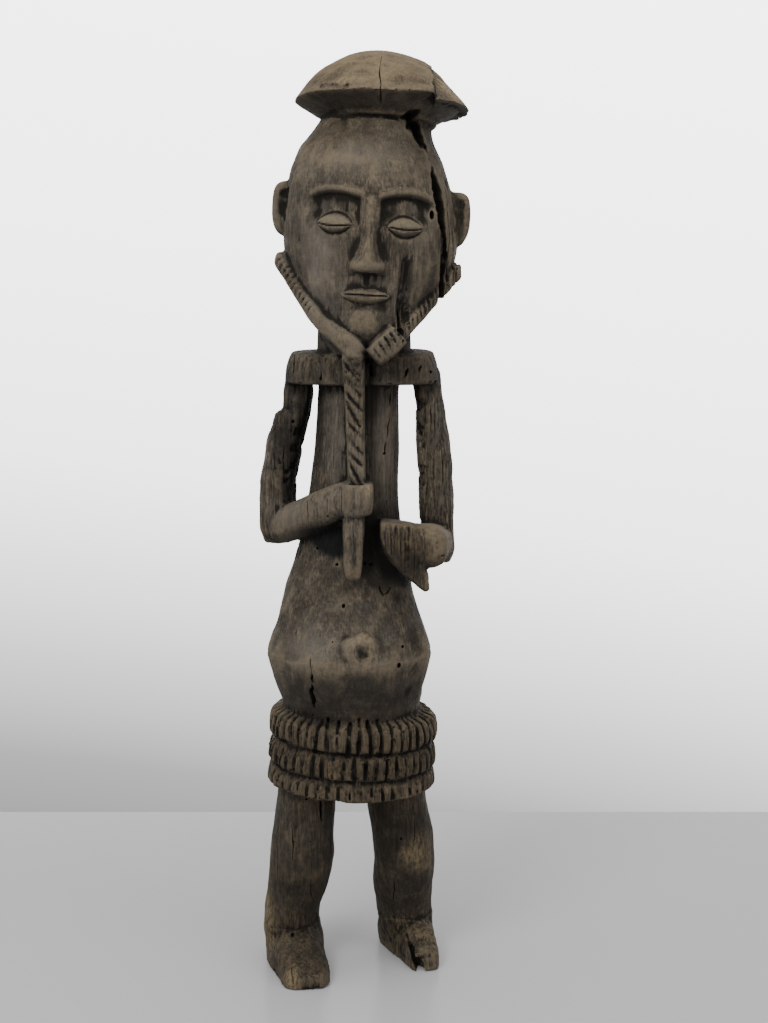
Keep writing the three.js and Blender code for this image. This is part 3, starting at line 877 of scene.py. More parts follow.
def carveForms():
    wood = buildWood()
    print("scene: forms joined,", len(wood.data.vertices), "points")
    splits = [onHead(crack(*split)) for split in headSplits]
    splits += [crack(*split) for split in footSplits]
    cutOut(wood, objectOf("hollows", hollows()), voxels["splits"])
    cutOut(wood, objectOf("splits", gather(*splits)), voxels["splits"])
    cutOut(wood, objectOf("floor", underFloor()))
    for side in (-1, 1):
        flap = objectOf("flap", onHead(earFlap(side)))
        worked(wood, "BOOLEAN", operation="UNION", solver="MANIFOLD", object=flap)
        discard(flap)
    hatching = [
        jawHatched(jawRows(-1)[1:6], 21, 0.0, 0.62, 0.12),
        jawHatched(jawRows(1)[1:6], 22, 0.2, 0.85, -0.5),
        jawHatched(chinRows, 23, 0.0, 1.0, -0.1),
        plaitHatched(),
    ]
    cutOut(wood, joined("hatching", hatching), voxels["hatching"])
    cutOut(wood, beltCuts())
    worked(wood, "REMESH", mode="VOXEL", voxel_size=voxels["carving"] * mm)
    print("scene: carved,", len(wood.data.vertices), "points")
    return wood


# Shallow overlapping gouge cuts, longest along one way; the depth that each takes away.
def scoops(v, n, where, count, long, wide, deep, along, seed):
    chance = np.random.default_rng(seed)
    order = np.argsort(v[:, 2])
    height = v[order, 2]
    inside = np.flatnonzero(where > 0.5)
    depth = np.zeros(len(v))
    for k in chance.choice(inside, min(count, len(inside)), replace=False):
        middle, facing = v[k], n[k]
        size = chance.uniform(0.7, 1.3)
        way = np.array(along, float) + chance.normal(0, 0.22, 3)
        u = way - (way @ facing) * facing
        if np.linalg.norm(u) < 0.2:
            continue
        u /= np.linalg.norm(u)
        w = np.cross(facing, u)
        reach = long * size
        span = np.searchsorted(height, [middle[2] - reach, middle[2] + reach])
        near = order[slice(*span)]
        off = v[near] - middle
        dip = 1 - (off @ u / reach) ** 2 - (off @ w / (wide * size)) ** 2
        dip[(n[near] @ facing < 0.6) | (np.abs(off @ facing) > wide)] = 0
        depth[near] = np.maximum(depth[near], deep * chance.uniform(0.6, 1.15) * dip)
    return depth * where


# Grooves along the upright grain: mostly flat, with narrow furrows between the fibres.
def furrows(v, across, along, seed):
    warp = np.stack([lumps(v, (14, 14, 60), seed + k) for k in (50, 51)] + [np.zeros(len(v))], -1)
    near = np.abs(lumps(v + warp * across * 0.9, (across, across, along), seed))
    return 1 - ease(near, 0.0, 0.34)


toolMarks = {  # how many, half-length, half-width, depth, way
    "cap": (190, 22, 12, 1.15, (1, 0, 0)),
    "head": (420, 15, 7.5, 0.6, (0, 0, 1)),
    "belly": (300, 23, 12, 0.95, (0.3, 0, 1)),
    "arms": (230, 24, 8.5, 1.0, (0, 0, 1)),
    "legs": (260, 26, 10, 1.1, (0, 0, 1)),
    "feet": (120, 13, 8, 0.8, (0, 1, 0.4)),
}
zones = {  # from, to and softness, in height
    "bar": (558, 585, 1.0), "belt": (180, 252, 3), "arms": (396, 556, 4), "belly": (254, 400, 5),
    "chest": (400, 556, 5),
}


# How much each point belongs to each part, and its place on the upright head and on the level cap.
def regionsOf(v):
    x, y, z = v.T
    head, rim = headPlace(v), capPlace(v)
    at = {name: between(z, *limits) for name, limits in zones.items()}
    at["bar"] *= 1 - ease(z, 584, 586)
    at["arms"] *= np.maximum(ease(-x, 44, 50), ease(x, 46, 52))
    at["belly"] *= 1 - at["arms"]
    at["chest"] *= 1 - at["arms"]
    at["cap"] = ease(rim[:, 2], -10, -3) * ease(head[:, 2], 170, 185)
    at["head"] = ease(head[:, 2], -8, 4) * (1 - at["cap"]) * ease(z, 588, 596)
    at["legs"] = 1 - ease(z, 172, 184)
    at["feet"] = 1 - ease(z, 32, 44)
    at["bowlBreak"] = ease(-y, 60.5, 62.5) * between(x, 18, 60, 2) * between(z, 374, 440, 3)
    at["forearms"] = at["arms"] * between(z, 390, 476, 4) * ease(-y, 16, 26)
    at["cheekRibs"] = between(head[:, 0], 25, 43, 2) * between(head[:, 2], 24, 96, 9)
    at["cheekRibs"] *= ease(-head[:, 1], 20, 34)
    return at, head, rim


# The face is carved in low relief, one half mirrored from the other; positive goes in.
relief = {
    "browHeight": 1.5, "browArch": 5.5, "socketDeep": 5.2, "socketTall": 30.0, "lidHigh": 4.6,
    "lidTall": 8.4, "lipHigh": 3.4, "mouthHalf": 0.68, "lineDeep": 2.0, "lineHalf": 1.0,
    "chinHigh": 2.2,
}


def faceRelief(p, n):
    r = relief
    x, z = np.abs(p[:, 0]), p[:, 2]
    front = ease(-p[:, 1], 14, 34) * ease(-n[:, 1], -0.1, 0.2)
    groove = lambda off, half: np.clip(1 - (off / half) ** 2, 0, 1)
    hill = lambda off, half: np.exp(-((off / half) ** 2))
    # the brow is an even arch, and the socket falls away below it
    bow = np.sin(np.pi * np.clip((x - 5) / 56, 0, 1))
    arch = face["brow"] + 1 + r["browArch"] * bow - 0.004 * np.maximum(x - 30, 0) ** 2
    across = ease(x, 7, 11) * (1 - ease(x, 47, 58))
    ridge = hill(z - arch - 3.0, 3.2) * ease(x, 3, 9) * (1 - ease(x, 48, 60))
    below = arch - z
    socket = r["socketDeep"] * ease(below, -0.6, 3.2) * (1 - ease(below, 15, r["socketTall"]))
    # the lids are almonds, nearly closed
    u = (x - face["eyeWidth"]) / (face["eyeWidth"] / 2)
    width = np.clip(1 - u * u, 0, 1)
    tall = r["lidTall"] * width ** 0.75 + 0.01
    t = (z - face["eyeLine"] + 0.8) / tall
    lid = r["lidHigh"] * np.clip(1 - t * t, 0, 1) ** 0.62 * width ** 0.35
    crease = 0.8 * groove(np.abs(t) - 1.12, 0.22) * (width > 0.02)
    slit = r["lineDeep"] * groove(z - face["eyeLine"] + 1.4 + 1.8 * width, r["lineHalf"])
    # the mouth is level and closed
    m = x / (face["eyeWidth"] * r["mouthHalf"])
    wide = np.clip(1 - m * m, 0, 1)
    over = z - face["mouthLine"]
    upper = 6.4 * wide ** 0.8 - 1.1 * np.exp(-((x / 3.5) ** 2)) + 0.01
    lower = 7.4 * wide ** 0.6 + 0.01
    part = np.where(over > 0, over / upper, over / lower)
    lips = r["lipHigh"] * np.clip(1 - part * part, 0, 1) ** 0.6 * wide ** 0.3
    parting = r["lineDeep"] * groove(over, r["lineHalf"]) * ease(wide, 0.02, 0.25)
    underLip = 1.5 * np.exp(-(((over + 11) / 3.4) ** 2) - (x / 14) ** 2)
    philtrum = 0.9 * groove(x, 3.4) * between(z, face["mouthLine"] + 8, face["noseBase"] - 2, 2)
    chin = r["chinHigh"] * np.exp(-(x / 15) ** 2 - ((z - face["chin"] - 15) / 10) ** 2)
    wings = np.exp(-(((x - 12.5) / 4.5) ** 2) - ((z - face["noseBase"] - 6) / 5.5) ** 2)
    carved = socket * across - r["browHeight"] * ridge - lid + crease
    carved = carved + slit * ease(width, 0.06, 0.3) - lips + parting + underLip + philtrum
    return front * (carved - chin - 1.5 * wings)


capBreak = {
    "edge": 67.0, "step": 3.6, "groove": 1.9, "width": 10.0, "lift": 3.0, "drop": 2.4,
}
navel = {
    "x": 3, "z": 322, "halfWidth": 18, "halfHeight": 16, "boss": 6.8, "pit": 2.5, "pitHeight": 321,
}
trough = {"middle": 34, "half": 7.2, "deep": 4.4, "deeperBelow": 1.4}
ankles = {-1: 42.5, 1: 37.0}  # where each foot ends, in height
# The belly's sharpest line, how steeply its flats fall away, and where they are: degrees, depth.
ridge = {"x": -8.7, "y": -3, "z": 307, "halfWidth": 77.8, "halfDepth": 75.2, "above": 17.0}
bellyFlats = [
    (-134, 2.4), (-84, 1.8), (-40, 2.2), (2, 1.2), (48, 2.0), (92, 1.8), (138, 2.2), (-178, 1.0),
]


def capMarks(v, n, at, rim, ragged):
    upper = at["cap"] * ease(n[:, 2], 0.05, 0.3) * ease(rim[:, 2], 0.2, 3.0)
    edge = capBreak["edge"]
    broken = upper * ease(v[:, 0] + ragged, edge - 0.7, edge + 0.7) * (1 - ease(v[:, 1], 20, 44))
    still = np.zeros(len(v))
    bent = v + np.stack([still, 5 * lumps(v, (26, 26, 14), 51), still], -1)
    fibres = 1 - ease(np.abs(lumps(bent, (48, capBreak["width"], 48), 4)), 0.0, 0.34)
    finer = 1 - ease(np.abs(lumps(bent, (30, 3.4, 30), 52)), 0.0, 0.4)
    fibres = np.maximum(fibres, 0.45 * finer)
    fibres *= 0.25 + 0.75 * ease(lumps(v, (44, 20, 30), 53), -0.3, 0.5)
    away = ease(rim[:, 2], 3, 25) * (1 - 0.6 * ease(rim[:, 2], 27, 37))
    grooves = capBreak["groove"] * (0.35 + 0.65 * away) * fibres
    return broken * (0.4 + capBreak["step"] * away + grooves)


def markHead(down, v, n, at, head, rim, ragged):
    x, y = v[:, 0], v[:, 1]
    # the top of the cap's right side has split away along the fibres
    down += capMarks(v, n, at, rim, ragged)
    # a flake has lifted off the cap's front edge, left of the middle
    torn = x + 1.6 * lumps(v, 5, 41)
    high = rim[:, 2] + 1.2 * lumps(v, (7, 7, 4), 42) + 0.06 * (x + 20)
    flake = 0.6 * between(torn, -31, -7, 0.8) * between(high, -1.5, 6.2, 0.6)
    down += flake * ease(-y, 20, 30) * ease(n[:, 2], -0.1, 0.15)
    # upright ridges between the long split and the ear
    beside = ease(head[:, 0], 63, 67) * between(head[:, 2], 24, 165, 9) * ease(-head[:, 1], 4, 12)
    down += beside * 2.2 * furrows(v, 7.0, 130, 5)
    # the cap's underside is thinner at the right
    thin = 3.2 * ease(head[:, 0], 36, 62) * between(rim[:, 2], -15, -2.5, 2)
    down += thin * ease(-n[:, 2], 0.1, 0.5)
    # a trough has worn down the right cheek
    side = (head[:, 0] - trough["middle"] + 1.2 * lumps(v, 30, 43)) / trough["half"]
    worn = ease(1 - np.abs(side), 0.0, 0.75) * between(head[:, 2], 27, 86, 12)
    deep = trough["deep"] + trough["deeperBelow"] * ease(-head[:, 2], -52, -34)
    down += worn * ease(-head[:, 1], 30, 40) * (deep + 0.7 * furrows(v, 4.0, 90, 44))


def markBody(down, v, n, at):
    x, y, z = v.T
    # the bowl's front is a flat break along the grain
    grain = 0.5 * furrows(v, 5.0, 90, 6) + 0.8 * lumps(v, (5, 5, 60), 7)
    down += at["bowlBreak"] * (grain + 0.6)
    # the feet start a little prouder than the shins
    for side, level in ankles.items():
        line = level + 1.6 * lumps(v, (12, 12, 40), 8) + 0.04 * x
        shin = ease(z, line - 0.8, line + 0.8) * (1 - ease(z, level + 8, level + 34))
        down += 0.8 * shin * (side * x > 0) * ease(-n[:, 1] + 0.35, 0.0, 0.4)
    # the left upper arm's outer side is flaked off
    flake = between(z, 478, 531, 3) * ease(-x, 72, 76)
    down += flake * (0.5 + 0.8 * furrows(v, 4.5, 40, 9))
    ledge = 1.6 * ease(z + 2 * lumps(v, 5, 47), 531.5, 533) * (1 - ease(z, 540, 556))
    down += ledge * ease(-x, 60, 63)
    # the arms' inner edges are nibbled
    inner = at["arms"] * ease(-n[:, 0] * np.sign(x + 2), 0.25, 0.7) * ease(n[:, 1], 0.5, -0.1)
    bites = lumps(v, (14, 14, 8), 48) + 0.6 * lumps(v, (9, 9, 4), 49)
    down += 1.9 * inner * ease(bites, 0.15, 0.6)


def markBelly(down, v, at):
    x, y, z = v.T
    # the navel, a soft boss with an uneven hollow
    u, w = x - navel["x"], z - navel["z"]
    off = np.hypot(u / navel["halfWidth"], w / navel["halfHeight"]) + 0.1 * lumps(v, 9, 45)
    crescent = 0.32 + 0.68 * ease(w - 0.8 * u, -14, 9)
    front = ease(-y, 50, 60)
    down -= navel["boss"] * crescent * (1 - ease(off, 0.4, 1.08)) * front
    low = (z - navel["pitHeight"] + 0.3 * x) / 9.5
    pit = np.hypot(u / np.where(u < 0, 8, 14), low) + 0.06 * lumps(v, 7, 46)
    down += navel["pit"] * (1 - ease(pit, 0.1, 1.1)) * front
    # broad flats over and under the belly's ridge
    across, ahead, up = x - ridge["x"], y - ridge["y"], z - ridge["z"]
    a, b = ridge["halfWidth"], ridge["halfDepth"]
    for angle, deep in bellyFlats:
        c, s = math.cos(math.radians(angle)), math.sin(math.radians(angle))
        below = math.radians(14.6 * c * c + 12.2 * s * s)
        slope = np.where(up > 0, math.radians(ridge["above"]), -below)
        over = (across * c + ahead * s - a * b / math.hypot(b * c, a * s)) * np.cos(slope)
        over = over + up * np.sin(slope) + deep
        soft = (1 - ease(over, deep + 0.8, deep + 3.6)) * ease(z, 256, 280)
        soft = soft * (1 - ease(z, 345, 388))
        down += np.clip(over, 0, 4) * soft * at["belly"] * ease(off, 0.8, 1.9)


# The carver's and time's marks, as depths that the skin goes in along its normals.
def cutMarks(wood):
    v, n = pointsOf(wood), normalsOf(wood)
    at, head, rim = regionsOf(v)
    x, y = v[:, 0], v[:, 1]
    down = np.zeros(len(v))
    for i, (name, (count, long, wide, deep, way)) in enumerate(toolMarks.items()):
        down += scoops(v, n, at[name], count, long, wide, deep, way, 60 + i)
    # slow unevenness of hand carving
    down += 0.6 * lumps(v, 42, 1) + 0.35 * lumps(v, 19, 2)
    down += at["belt"] * (0.5 + 0.9 * lumps(v, (9, 9, 14), 61))
    down += faceRelief(head, n)
    ragged = 2.4 * lumps(v, (30, 9, 7), 3)
    markHead(down, v, n, at, head, rim, ragged)
    markBody(down, v, n, at)
    markBelly(down, v, at)
    v = v - n * down[:, None]
    # the rim stands up left of the break, and hangs right of it
    right = ease(x + ragged, capBreak["edge"] - 0.7, capBreak["edge"] + 0.7)
    onRim = ease(np.hypot(rim[:, 0], rim[:, 1]), 60, 77) * (1 - ease(np.abs(rim[:, 2]), 5, 14))
    onRim = onRim * ease(-y, -10, 14)
    lift = capBreak["lift"] * ease(x, 28, 62) * (1 - right)
    v[:, 2] += onRim * (lift - capBreak["drop"] * right * (1 - ease(x, 72, 86)))
    movePoints(wood, v)


weathering = {"edgeWear": 0.8, "chips": 1.5, "grain": 0.46}
grainDepth = {
    "cap": 0.12, "head": 0.18, "bar": 0.8, "belt": 1.0, "legs": 0.6, "arms": 1.1, "belly": 0.12,
    "chest": 0.7, "feet": 0.3, "bowlBreak": 0.7, "forearms": -0.8, "cheekRibs": 0.5,
}
wornSpots = [  # rubbed smooth: middle, half-sizes, how far
    ([-66, -55, 232], [16, 14, 7], 0.9), ([-50, -62, 214], [9, 12, 8], 0.7),
    ([-24, -75, 213], [10, 10, 8], 0.75), ([-70, -40, 222], [12, 16, 5], 0.6),
    ([-9, -3, 307], [62, 200, 8], 0.8), ([3, -75, 322], [26, 20, 22], 0.12),
    ([-3, -72, 560], [14, 14, 9], 0.6), ([-2, -64, 512], [14, 14, 8], 0.6),
]


def grainOf(at):
    return sum(at[name] * depth for name, depth in grainDepth.items())


# Edges are rubbed and chipped, some spots are worn smooth, and the grain is washed out.
def weather(wood):
    v, n, edges = pointsOf(wood), normalsOf(wood), edgesOf(wood)
    at = regionsOf(v)[0]
    proud = ((v - relaxed(v, edges, 14)) * n).sum(1)
    kept = at["cap"] + at["bar"] + 0.8 * at["belt"] + at["head"] * ease(-v[:, 1], 30, 45)
    rubbed = weathering["edgeWear"] * ease(proud, 0.2, 1.0) * (1 - 0.75 * np.clip(kept, 0, 1))
    down = rubbed * (0.55 + 0.45 * lumps(v, 8, 31))
    shares = {"cap": 0.7, "bar": 1, "arms": 1.2, "belt": 1.1, "feet": 0.5}
    sharp = np.maximum.reduce([share * at[name] for name, share in shares.items()])
    bites = ease(lumps(v, (5, 5, 6), 32) + 0.5 * lumps(v, 2.6, 33), 0.38, 0.6)
    down += weathering["chips"] * ease(proud, 0.12, 0.5) * bites * sharp
    v = v - n * down[:, None]
    blend = np.max([np.clip(1.5 * spot(v, *where), 0, 1) * share for *where, share in wornSpots], 0)
    near = np.flatnonzero(blend > 0.01)
    place = np.full(len(v), -1)
    place[near] = np.arange(len(near))
    inside = edges[(place[edges] >= 0).all(1)]
    v[near] += blend[near, None] * (relaxed(v[near], place[inside], 70) - v[near])
    movePoints(wood, v)
    v, n = pointsOf(wood), normalsOf(wood)
    level = 1 - ease(np.abs(n[:, 2]), 0.5, 0.95)
    strong = weathering["grain"] * grainOf(at) * (0.25 + 0.75 * level)
    cut = 1.1 * furrows(v, 4.2, 55, 34) + 0.7 * lumps(v, (2.8, 2.8, 30), 36)
    cut += 0.35 * lumps(v, 2.4, 37)
    floorGap = ease(v[:, 2], 0.05, 2.0)
    movePoints(wood, v - n * (strong * cut * floorGap)[:, None])


def frontOf(tree, x, z):
    hit, facing = tree.ray_cast(Vector((x, -300, z)), Vector((0, 1, 0)))[:2]
    return np.array(hit), np.array(facing)


frontCracks = [  # (x, z) along it, mouth, depth
    ([(22.6, 845), (21.4, 838), (20.4, 829)], 0.6, 1.8),
    ([(20.8, 834), (20.2, 826), (21, 817), (21.4, 811)], 1.25, 6.0),
    ([(21, 814), (21.4, 807), (21.8, 800)], 1.3, 4.0),
    ([(45.2, 573), (43.6, 568.5), (41.4, 564.6)], 3.2, 6.0),
    ([(57.2, 575.5), (56.2, 571.8), (55.4, 568.6)], 2.8, 5.0),
    ([(30.4, 549), (29.6, 543), (29.2, 538)], 2.6, 3.4),
    ([(26.2, 506), (24.9, 500), (24.4, 495)], 2.6, 3.6),
    ([(13, 581), (12.6, 570), (13.2, 556)], 3.4, 10.0),
    ([(-31.2, 570), (-31.6, 564), (-31, 557)], 2.8, 3.6),
    ([(-55.7, 584), (-56.4, 570), (-56.7, 556)], 1.4, 3.0),
    ([(28.8, 530), (28.2, 520), (26.6, 508)], 2.4, 3.6),
    ([(-42.4, 318), (-41.5, 308), (-40.4, 297)], 1.0, 2.5),
    ([(-40.2, 301), (-40.6, 296), (-40.3, 292)], 3.8, 6.0),
    ([(-40.8, 291), (-40.6, 279), (-39.4, 266)], 6.2, 12.0),
    ([(19.5, 378), (21, 373), (23.7, 367.5)], 2.3, 3.4),
    ([(23.3, 368.8), (27, 370), (30.6, 375)], 1.9, 2.6),
    ([(35.4, 356), (38, 344), (42.1, 329)], 0.9, 1.8),
    ([(-35, 172), (-34.8, 160), (-34.4, 148)], 3.6, 6.5),
    ([(-13.4, 469), (-13, 457), (-13.8, 445)], 0.9, 1.6),
    ([(-61.6, 20), (-61.1, 12), (-59, 4)], 1.6, 1.8),
    ([(35.6, 626), (36.6, 615), (38.2, 606), (40, 597)], 5.0, 9.0),
    ([(8.4, 582), (9.6, 577)], 6.0, 8.0), ([(-62, 150), (-60.5, 128), (-62, 108)], 1.2, 2.4),
    ([(-44, 96), (-45, 80), (-43.5, 66)], 1.1, 2.0),
    ([(52, 150), (53, 132), (51.5, 120)], 1.2, 2.4), ([(33, 92), (33.6, 74), (32.6, 58)], 1.4, 2.6),
    ([(76, 500), (77.5, 478), (76.5, 455)], 1.3, 2.6),
    ([(66, 540), (66.8, 522), (66, 508)], 1.3, 2.6),
    ([(-66, 506), (-67.5, 486), (-67, 466)], 1.3, 2.6),
    ([(29.5, 434), (30.2, 420), (31.5, 404)], 1.0, 2.6),
    ([(38, 434), (38.6, 418), (40, 398)], 0.8, 2.0),
]
frontHoles = [  # x, z, half-width, half-height
    (66.1, 568.5, 1.4, 1.6), (70.4, 558.5, 2.2, 1.6), (24.5, 495, 1.8, 1.1),
    (-58.4, 522.5, 1.6, 1.8), (-18.3, 396.8, 1.5, 1.5), (6.9, 397.5, 1.4, 1.5),
    (12.3, 396.3, 1.7, 1.6), (-12.3, 361.1, 1.6, 2.2), (41, 322.1, 1.5, 1.6),
    (37.8, 306.7, 2.0, 2.6), (-36.3, 409.3, 1.3, 1.3), (-62.3, 37.2, 1.8, 2.0),
    (65.8, 706.7, 2.2, 4.2), (38.4, 606, 4.0, 5.0), (-22, 330, 0.9, 0.9), (60, 765, 1.2, 1.4),
]
wormMarks = {"density": 420.0, "patch": 22.0, "shortest": 0.7, "longest": 1.7, "depth": 5.0}
dryingChecks = {
    "density": 190.0, "patch": 9.0, "shortest": 0.5, "longest": 1.5, "length": 26.0,
    "mouth": 0.95, "depth": 2.4,
}


def damage(wood):
    tree = surfaceOf(wood)
    forms = []
    for i, (pairs, mouth, deep) in enumerate(frontCracks):
        hits, facings = zip(*(frontOf(tree, *pair) for pair in pairs))
        inward = -np.mean(facings, axis=0) + [0, 0.4, 0]
        forms.append(crack(hits, mouth, deep, inward, min(0.3, 0.85 / mouth), 100 + i))
    for x, z, wide, tall in frontHoles:
        hit, facing = frontOf(tree, x, z)
        forms.append(ball(hit - facing * 0.3 * wide, [wide, 1.6 * wide + 1.5, tall], sides=14))
    cutOut(wood, objectOf("splits", gather(*forms)), voxels["cracks"])


# Worm holes and drying checks, away from the cap, the forearms and the smooth front.
def scatteredMarks(wood):
    v, n = pointsOf(wood), normalsOf(wood)
    at = regionsOf(v)[0]
    smooth = (at["head"] + at["belly"] + at["bar"]) * ease(-n[:, 1], -0.1, 0.3)
    kept = at["cap"] * ease(n[:, 2], -0.2, 0.1) + at["forearms"] + smooth
    writeOn(wood, "bare", 1 - np.clip(kept, 0, 1))
    reach = dryingChecks["length"]
    line = [(0, 0, -reach), (0, 0.8, -6), (0, -0.5, 8), (0, 0.3, reach)]
    check = crack(line, dryingChecks["mouth"], dryingChecks["depth"], (-1, 0, 0), 0.35, 9)
    pin = ball([0, 0, 0], [wormMarks["depth"], 1, 1], sides=8)
    things = []
    for form, marks, seed in ((pin, wormMarks, 3), (check, dryingChecks, 8)):
        pattern = patternOf("pattern", form)
        thing = linked("marks", wood.data.copy())
        things.append(grown(
            thing, scatter, form=pattern, density=marks["density"], patchsize=marks["patch"],
            shortest=marks["shortest"], longest=marks["longest"], seed=seed,
        ))
        discard(pattern)
    counts = [len(thing.data.polygons) for thing in things]
    print("scene: scattered marks,", *counts, "faces")
    cutOut(wood, joined("marks", things), voxels["cracks"])


# The finish reads how hollow, proud and sheltered each point is.
def feel(wood):
    v, n, edges = pointsOf(wood), normalsOf(wood), edgesOf(wood)
    near = ((v - relaxed(v, edges, 4)) * n).sum(1)
    wide = ((v - relaxed(v, edges, 40)) * n).sum(1)
    cast = surfaceOf(wood).ray_cast
    ways = unit(np.random.default_rng(12).normal(size=(12, 3)) + [0, 0, 0.25])
    hidden, asked = np.zeros((2, len(v)))
    starts = v + n * 0.6
    reach = 60.0
    for way in ways:
        use = np.flatnonzero(n @ way > 0.12)
        asked[use] += 1
        direction = Vector(way)
        hits = [cast(Vector(starts[i]), direction, reach)[3] for i in use]
        hidden[use] += np.array([0.0 if h is None else 1.0 - 0.5 * h / reach for h in hits])
    sheltered = relaxed((hidden / np.maximum(asked, 1))[:, None], edges, 2)[:, 0]
    hollow = -near / 0.55 + 0.35 * np.clip(-wide / 2.5, 0, 1)
    writeOn(wood, "hollow", np.clip(hollow, 0, 1))
    writeOn(wood, "proud", np.clip(near / 0.5 * 0.6 + 0.4 * wide / 2.5, 0, 1))
    writeOn(wood, "sheltered", np.clip(sheltered, 0, 1))


# Spots of patina, and of painted light and shade.
patina = {  # middle, half-sizes, strength
    "ochre": [
        ([55, -20, 113], [17, 30, 19], 1.2), ([4, -80, 336], [18, 14, 5], 0.8),
        ([14, -78, 322], [8, 14, 12], 0.6), ([-24, -75, 208], [7, 14, 9], 0.8),
        ([-18, -66, 820], [14, 12, 6], 0.5), ([20, -60, 822], [60, 26, 8], 0.3),
        ([2, -74, 345], [34, 20, 6], 0.3), ([10, -70, 468], [8, 10, 6], 0.8),
        ([-86, -5, 34], [11, 30, 36], 1.0), ([86, -22, 820], [16, 34, 18], 1.0),
        ([-60, -60, 8], [16, 16, 12], 0.25), ([-61, -66, 10], [4.5, 12, 12], 1.3),
        ([46, -64, 412], [14, 8, 22], 0.4), ([-20, -66, 262], [26, 30, 8], 0.5),
        ([30, -66, 262], [26, 30, 6], 0.4), ([-82, 0, 120], [6, 30, 50], 0.4),
        ([-40, -30, 120], [24, 14, 10], 0.4), ([0, -60, 250], [90, 60, 3], 0.45),
        ([40, -52, 700], [6, 20, 40], 0.45),
    ],
    # Dark patches, partly soot and partly painted shade: the spots under the left forearm, round
    # the bowl, the hand and the plait's tail, beside the left arm and under the head paint shadow,
    # and the darker belt, legs and lower belly also paint the light falling off lower down.
    "soot": [
        ([-10, -66, 276], [90, 50, 24], 0.9), ([-30, -60, 270], [22, 20, 16], 0.5),
        ([-55, -30, 80], [26, 22, 26], 0.6), ([44, -20, 70], [26, 26, 22], 0.5),
        ([-6, -60, 350], [40, 20, 12], 0.4), ([-10, -64, 380], [18, 20, 18], 0.4),
        ([-62, -14, 500], [15, 22, 60], 1.0), ([-78, 0, 520], [12, 40, 20], 0.3),
        ([72, 0, 490], [12, 40, 70], 0.45), ([0, 0, 214], [110, 110, 38], 0.75),
        ([0, 0, 100], [120, 120, 80], 0.6), ([0, 0, 570], [110, 90, 16], 0.55),
        ([60, -40, 568], [40, 30, 12], 0.25), ([12, 10, 110], [16, 60, 80], 0.55),
        ([-50, -20, 18], [60, 70, 30], 0.5), ([50, 0, 20], [40, 60, 30], 0.15),
        ([0, 0, 135], [120, 80, 26], 0.35), ([44, -60, 405], [24, 16, 34], 0.55),
        ([5, -60, 806], [90, 60, 8], 0.35), ([5, -10, 596], [60, 60, 10], 0.6),
        ([-32, -48, 422], [24, 18, 11], 1.0), ([-20, -52, 412], [18, 16, 9], 0.8),
        ([20, -42, 405], [15, 14, 30], 1.0), ([22, -50, 402], [9, 10, 26], 1.0),
        ([40, -50, 380], [16, 14, 8], 0.8), ([54, -60, 400], [13, 14, 8], 0.6),
        ([12, -46, 420], [9, 16, 24], 0.7), ([-52, -20, 520], [8, 22, 44], 0.6),
        ([-34, -20, 530], [5, 30, 60], 0.9), ([44, -60, 652], [8, 20, 14], 0.8),
        ([68, -30, 640], [10, 20, 40], 0.4), ([-20, -70, 796], [40, 40, 12], 0.3),
    ],
    # Painted shadow, near black: under the left forearm, beside the plait's tail and in the gap
    # between the bowl and the belly.
    "black": [
        ([-30, -44, 418], [18, 22, 11], 1.2), ([-16, -50, 412], [14, 18, 9], 1.0),
        ([18, -40, 415], [7, 13, 11], 1.3), ([24, -37, 401], [8, 13, 9], 1.3),
        ([32, -31, 389], [8, 14, 8], 1.3), ([42, -22, 377], [10, 16, 7], 1.2),
        ([16, -42, 426], [7, 16, 14], 0.6), ([-58, -26, 440], [10, 20, 10], 0.3),
        ([24, -46, 404], [5, 8, 22], 0.9), ([-24, -40, 426], [20, 14, 8], 0.8),
    ],
    # Pale patches, partly painted highlight and sheen: the left cheek, the face, the left arm, the
    # forearm and the chest are lightened where more light falls on them.
    "pale": [
        ([-38, -58, 645], [10, 12, 18], 0.9), ([-34, -60, 680], [26, 20, 30], 0.65),
        ([50, -50, 690], [16, 20, 36], 0.45), ([-86, -10, 497], [6, 16, 22], 0.8),
        ([-16, -40, 500], [14, 20, 56], 0.55), ([27, -38, 500], [16, 20, 56], 0.9),
        ([-62, -14, 438], [22, 24, 14], 0.9), ([0, -72, 459], [14, 10, 12], 0.45),
        ([-10, -70, 765], [60, 30, 24], 0.3), ([30, 0, 150], [26, 60, 30], 0.2),
        ([-50, -40, 447], [40, 20, 12], 0.45), ([-50, -60, 325], [22, 20, 18], 0.6),
        ([8, -70, 760], [30, 30, 14], 0.4), ([44, -76, 244], [8, 10, 6], 0.4),
        ([-20, -74, 240], [40, 20, 8], 0.25),
    ],
    "polish": [
        ([-38, -58, 645], [14, 16, 22], 1.0), ([-84, -14, 497], [8, 16, 26], 0.9),
        ([-30, -66, 325], [50, 40, 40], 0.5), ([-20, -70, 760], [40, 40, 30], 0.3),
        ([20, -62, 640], [30, 20, 30], 0.5), ([-58, -24, 440], [26, 20, 16], 0.4),
    ],
    "warm": [
        ([5, 0, 838], [130, 130, 30], 1.0), ([0, 0, 215], [130, 130, 50], 1.0),
        ([0, 0, 60], [150, 150, 110], 0.9), ([45, -60, 408], [26, 24, 36], 1.0),
        ([10, -40, 780], [80, 60, 30], 0.4),
    ],
    # Spots where the painted shade is weakened: the chest right of the plait and both ears.
    "clean": [
        ([27, -38, 500], [16, 20, 60], 0.7), ([-82, -10, 712], [14, 18, 26], 1.0),
        ([92, -10, 702], [14, 18, 26], 1.0),
    ],
}


# Writes each spot list and the raw grain onto the points; some lists paint shadow, shade and
# highlight.
def stain(wood):
    v = pointsOf(wood)
    for name, spots in patina.items():
        total = sum(strength * spot(v, *where) for *where, strength in spots)
        writeOn(wood, name, np.clip(total, 0, 1))
    writeOn(wood, "rawGrain", np.clip(grainOf(regionsOf(v)[0]), 0, 1))


